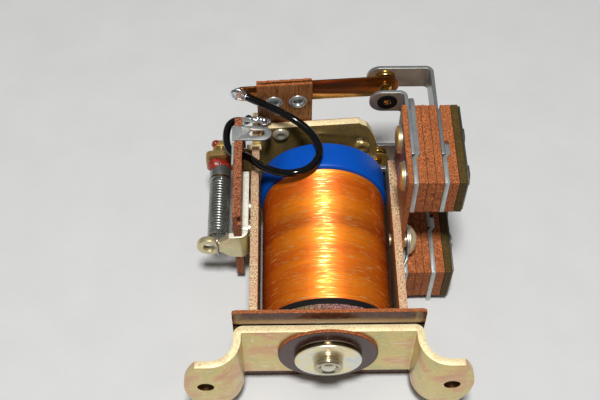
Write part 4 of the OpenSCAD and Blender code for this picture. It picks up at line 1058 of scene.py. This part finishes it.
class RELAY_OT_spring(Step, bpy.types.Operator):
    """Return spring, its plug, post, nut and the red locking lacquer"""

    bl_idname = "relay.spring"
    bl_label = "Return spring"

    def execute(self, context):
        width = sizes().spring_wire
        spring = soft_wire(self.windings(2.55 - width / MM / 2), width, 4, "coil_spring", "spring steel")
        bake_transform(spring)
        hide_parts("return_spring")
        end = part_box("spring_plug")[1].y / MM - PLUG_Y
        plug = turned([(0.95, -1.5), (1.7, -1.5), (1.8, -0.1), (2.35, 0), (2.6, 0.2), (2.62, 0.55),
                       (2.45, 0.65), (2.5, 0.8), (2.6, end - 0.6), (2.5, end), (0.95, end), (0.95, -1.5)],
                      (SPRING_X, PLUG_Y, 0), steps=56)
        hand_over(plug, "plug", "armature", "spring steel", ["spring_plug"], 45)
        paint(plug, "dark brass", lambda face: 0.2 < (face.center.y / MM - PLUG_Y) < 0.75)
        dressed("adjusting_post", "post", "armature", "zinc", 0.2 * MM)
        dressed("adjusting_nut", "locking_nut", "armature", "olive steel", 0.15 * MM, 3)
        self.seal()
        return {"FINISHED"}

    def windings(self, radius):
        """The wire's route from the plug to the hook in the spring bracket's ear."""
        turns, rounds, back = 20, 28, PLUG_Y - 0.4
        route = []
        for k in range(turns * rounds + 1):
            angle = math.tau * k / rounds
            route.append((SPRING_X + radius * math.sin(angle),
                          back - (back - SPRING_FRONT_Y) * k / (turns * rounds), radius * math.cos(angle)))
        hook = ((0.3, 37, 2.87), (0.1, 35.6, 3.0), (0, 34.6, 2.7), (0, 34.3, 2.0), (0, 34.3, 0),
                (0, 34.3, -2.0), (0, 34.7, -2.6), (0, 35.5, -2.7), (0, 36.6, -2.3))
        bend = smooth_route(route[-1:] + [(SPRING_X + side, y, z) for side, y, z in hook], 3)
        return route + bend[1:]

    def seal(self):
        """Lacquer that ran round the post in front of the tail, and a blob at the post's end."""
        low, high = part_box("lacquer_seal")
        length = (high.y - low.y) / MM
        parts = [turned([(0.97, -0.1), (2.5, -0.15), (2.72, 0.1), (2.68, 0.5), (2.3, 0.9), (1.9, 1.3),
                         (1.75, length), (0.97, length), (0.97, -0.1)], (SPRING_X, low.y / MM, 0), steps=48)]
        low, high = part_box("adjusting_nut")
        nut_y = (low.y + high.y) / 2 / MM
        parts.append(ball((SPRING_X - 1.4, nut_y + 0.3, 1.0), 1.3, (0.8, 0.75, 0.9)))
        for side, y, z, size in ((-0.9, 57.7, 1.1, 2.3), (0.9, 58.0, 0.6, 1.9)):
            parts.append(ball((SPRING_X + side, y, z), size, (1.0, 0.75, 0.9)))
        seal = joined(parts)
        use_modifier(seal, "REMESH", mode="VOXEL", voxel_size=0.12 * MM)
        displace(seal, "runs", 1.3, 0.4 * MM, 0.55)
        use_modifier(seal, "SMOOTH", factor=0.5, iterations=3)
        hand_over(seal, "red_seal", "armature", "lacquer", ["lacquer_seal"], 80)


class RELAY_OT_lead(Step, bpy.types.Operator):
    """Flexible lead from the upper blade's tail to its tag, with the solder at both ends"""

    bl_idname = "relay.lead"
    bl_label = "Flexible lead"

    def execute(self, context):
        route = smooth_route(LEAD_ROUTE)
        lead = soft_wire(route, sizes().lead_width, 6, "black_lead", "insulation")
        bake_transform(lead)
        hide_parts("flexible_lead")
        self.blob((-19.4, 62.0, 22.7), (2.0, 0.95, 1.75), "tail_solder_blob", "armature", ["tail_solder"])
        self.strands()
        self.blob((-13.9, 60.7, 14.8), (1.7, 0.95, 0.9), "tag_solder", "frame")
        self.blob((-15.2, 60.9, 14.75), (2.2, 0.7, 0.7), "tag_solder_run", "frame")
        return {"FINISHED"}

    def blob(self, place, scale, name, body, nodes=()):
        lump = ball(place, 1, scale, 5)
        displace(lump, name, 1.2, 0.7 * MM, 0.5)
        hand_over(lump, name, body, "solder", nodes, 80)

    def strands(self):
        """Bare tinned strands between the insulation and the blade's tail."""
        count, spread = 7, 0.45
        route = ((-16.6, 61.1, 22.0, 1, 1), (-17.9, 61.5, 22.3, 1, 1), (-18.8, 61.8, 22.4, 0.8, 0.9),
                 (-19.8, 62.0, 22.3, 0.6, 0.8))
        parts = []
        for number in range(count):
            turn = math.tau * number / count
            side, lift = spread * math.cos(turn), spread * math.sin(turn)
            parts.append(wire([(x, y + side * wide, z + lift * tall) for x, y, z, wide, tall in route],
                              0.42 * MM, 3))
        hand_over(joined(parts), "bare_strands", "armature", "solder", smooth=60)


class RELAY_OT_studio(Step, bpy.types.Operator):
    """Pale floor, soft overhead light and the camera at the photograph's place"""

    bl_idname = "relay.studio"
    bl_label = "Studio"

    def execute(self, context):
        self.floor()
        self.world(context.scene)
        self.light()
        self.camera(context.scene)
        return {"FINISHED"}

    def floor(self):
        bpy.ops.object.select_all(action="DESELECT")
        bpy.ops.mesh.primitive_plane_add(size=4, location=(0, 0, (FLOOR_Z - 0.02) * MM))
        obj = bpy.context.object
        obj.name = "table_top"
        p = Pattern("pale table", Roughness=0.5, Specular_IOR_Level=0.3)
        tones = p.shades(p.noise(14.0, 4.0, 0.6), colours().floor, (0.3, 0.97), (0.7, 1.02))
        obj.data.materials.append(p.done(tones))

    def world(self, scene):
        """A sky that is a little lighter overhead than at the sides."""
        world = bpy.data.worlds.new("studio")
        scene.world = world
        world.use_nodes = True
        nodes, links = world.node_tree.nodes, world.node_tree.links
        background = nodes["Background"]
        coords = nodes.new("ShaderNodeTexCoord")
        split = nodes.new("ShaderNodeSeparateXYZ")
        ramp = nodes.new("ShaderNodeValToRGB")
        links.new(coords.outputs["Generated"], split.inputs["Vector"])
        links.new(split.outputs["Z"], ramp.inputs["Fac"])
        links.new(ramp.outputs["Color"], background.inputs["Color"])
        for stop, position, grey in zip(ramp.color_ramp.elements, (0.0, 0.75), (0.34, 0.62)):
            stop.position, stop.color = position, (grey, grey, grey, 1)
        background.inputs["Strength"].default_value = 0.29

    def light(self):
        data = bpy.data.lights.new("softbox", "AREA")
        data.shape = "SQUARE"
        data.size = sizes().softbox
        data.energy = LAMP_POWER
        lamp = bpy.data.objects.new("softbox", data)
        bpy.context.scene.collection.objects.link(lamp)
        lamp.location = LAMP_PLACE
        toward = Vector(LAMP_TARGET) - lamp.location
        lamp.rotation_mode = "QUATERNION"
        lamp.rotation_quaternion = toward.to_track_quat("-Z", "Y")

    def camera(self, scene):
        yaw, pitch, roll = (math.radians(angle) for angle in (CAMERA_YAW, CAMERA_PITCH, CAMERA_ROLL))
        forward = Vector((math.sin(yaw) * math.cos(pitch), math.cos(yaw) * math.cos(pitch), -math.sin(pitch)))
        right = Vector((math.cos(yaw), -math.sin(yaw), 0))
        up = right.cross(forward)
        right_rolled = math.cos(roll) * right + math.sin(roll) * up
        up_rolled = -math.sin(roll) * right + math.cos(roll) * up
        data = bpy.data.cameras.new("camera")
        data.sensor_width = SENSOR_WIDTH
        data.sensor_fit = "HORIZONTAL"
        data.lens = FOCAL_LENGTH / PHOTO_WIDTH * SENSOR_WIDTH
        data.clip_start, data.clip_end = 0.01, 20
        camera = bpy.data.objects.new("camera", data)
        scene.collection.objects.link(camera)
        turn = Matrix((right_rolled, up_rolled, -forward)).transposed().to_4x4()
        camera.matrix_world = Matrix.Translation(CAMERA_PLACE) @ turn
        scene.camera = camera
        scene.view_settings.view_transform = "Standard"


STEPS = Step.__subclasses__()  # in the order in which they are written


class RELAY_PT_panel(bpy.types.Panel):
    """Lists the steps of the build in the sidebar"""

    bl_label = "Relay"
    bl_idname = "RELAY_PT_panel"
    bl_space_type = "VIEW_3D"
    bl_region_type = "UI"
    bl_category = "Relay"

    def draw(self, context):
        layout = self.layout
        for group in (context.scene.relay_sizes, context.scene.relay_colours):
            for key in group.__annotations__:
                layout.prop(group, key)
        for step in STEPS:
            layout.operator(step.bl_idname)


CLASSES = (RelaySizes, RelayColours, *STEPS, RELAY_PT_panel)


def register():
    for item in CLASSES:
        bpy.utils.register_class(item)
    bpy.types.Scene.relay_sizes = bpy.props.PointerProperty(type=RelaySizes)
    bpy.types.Scene.relay_colours = bpy.props.PointerProperty(type=RelayColours)


def unregister():
    del bpy.types.Scene.relay_colours
    del bpy.types.Scene.relay_sizes
    for item in reversed(CLASSES):
        bpy.utils.unregister_class(item)


def main():
    register()
    for step in STEPS:
        group, name = step.bl_idname.split(".")
        getattr(getattr(bpy.ops, group), name)()


if __name__ == "__main__":
    main()
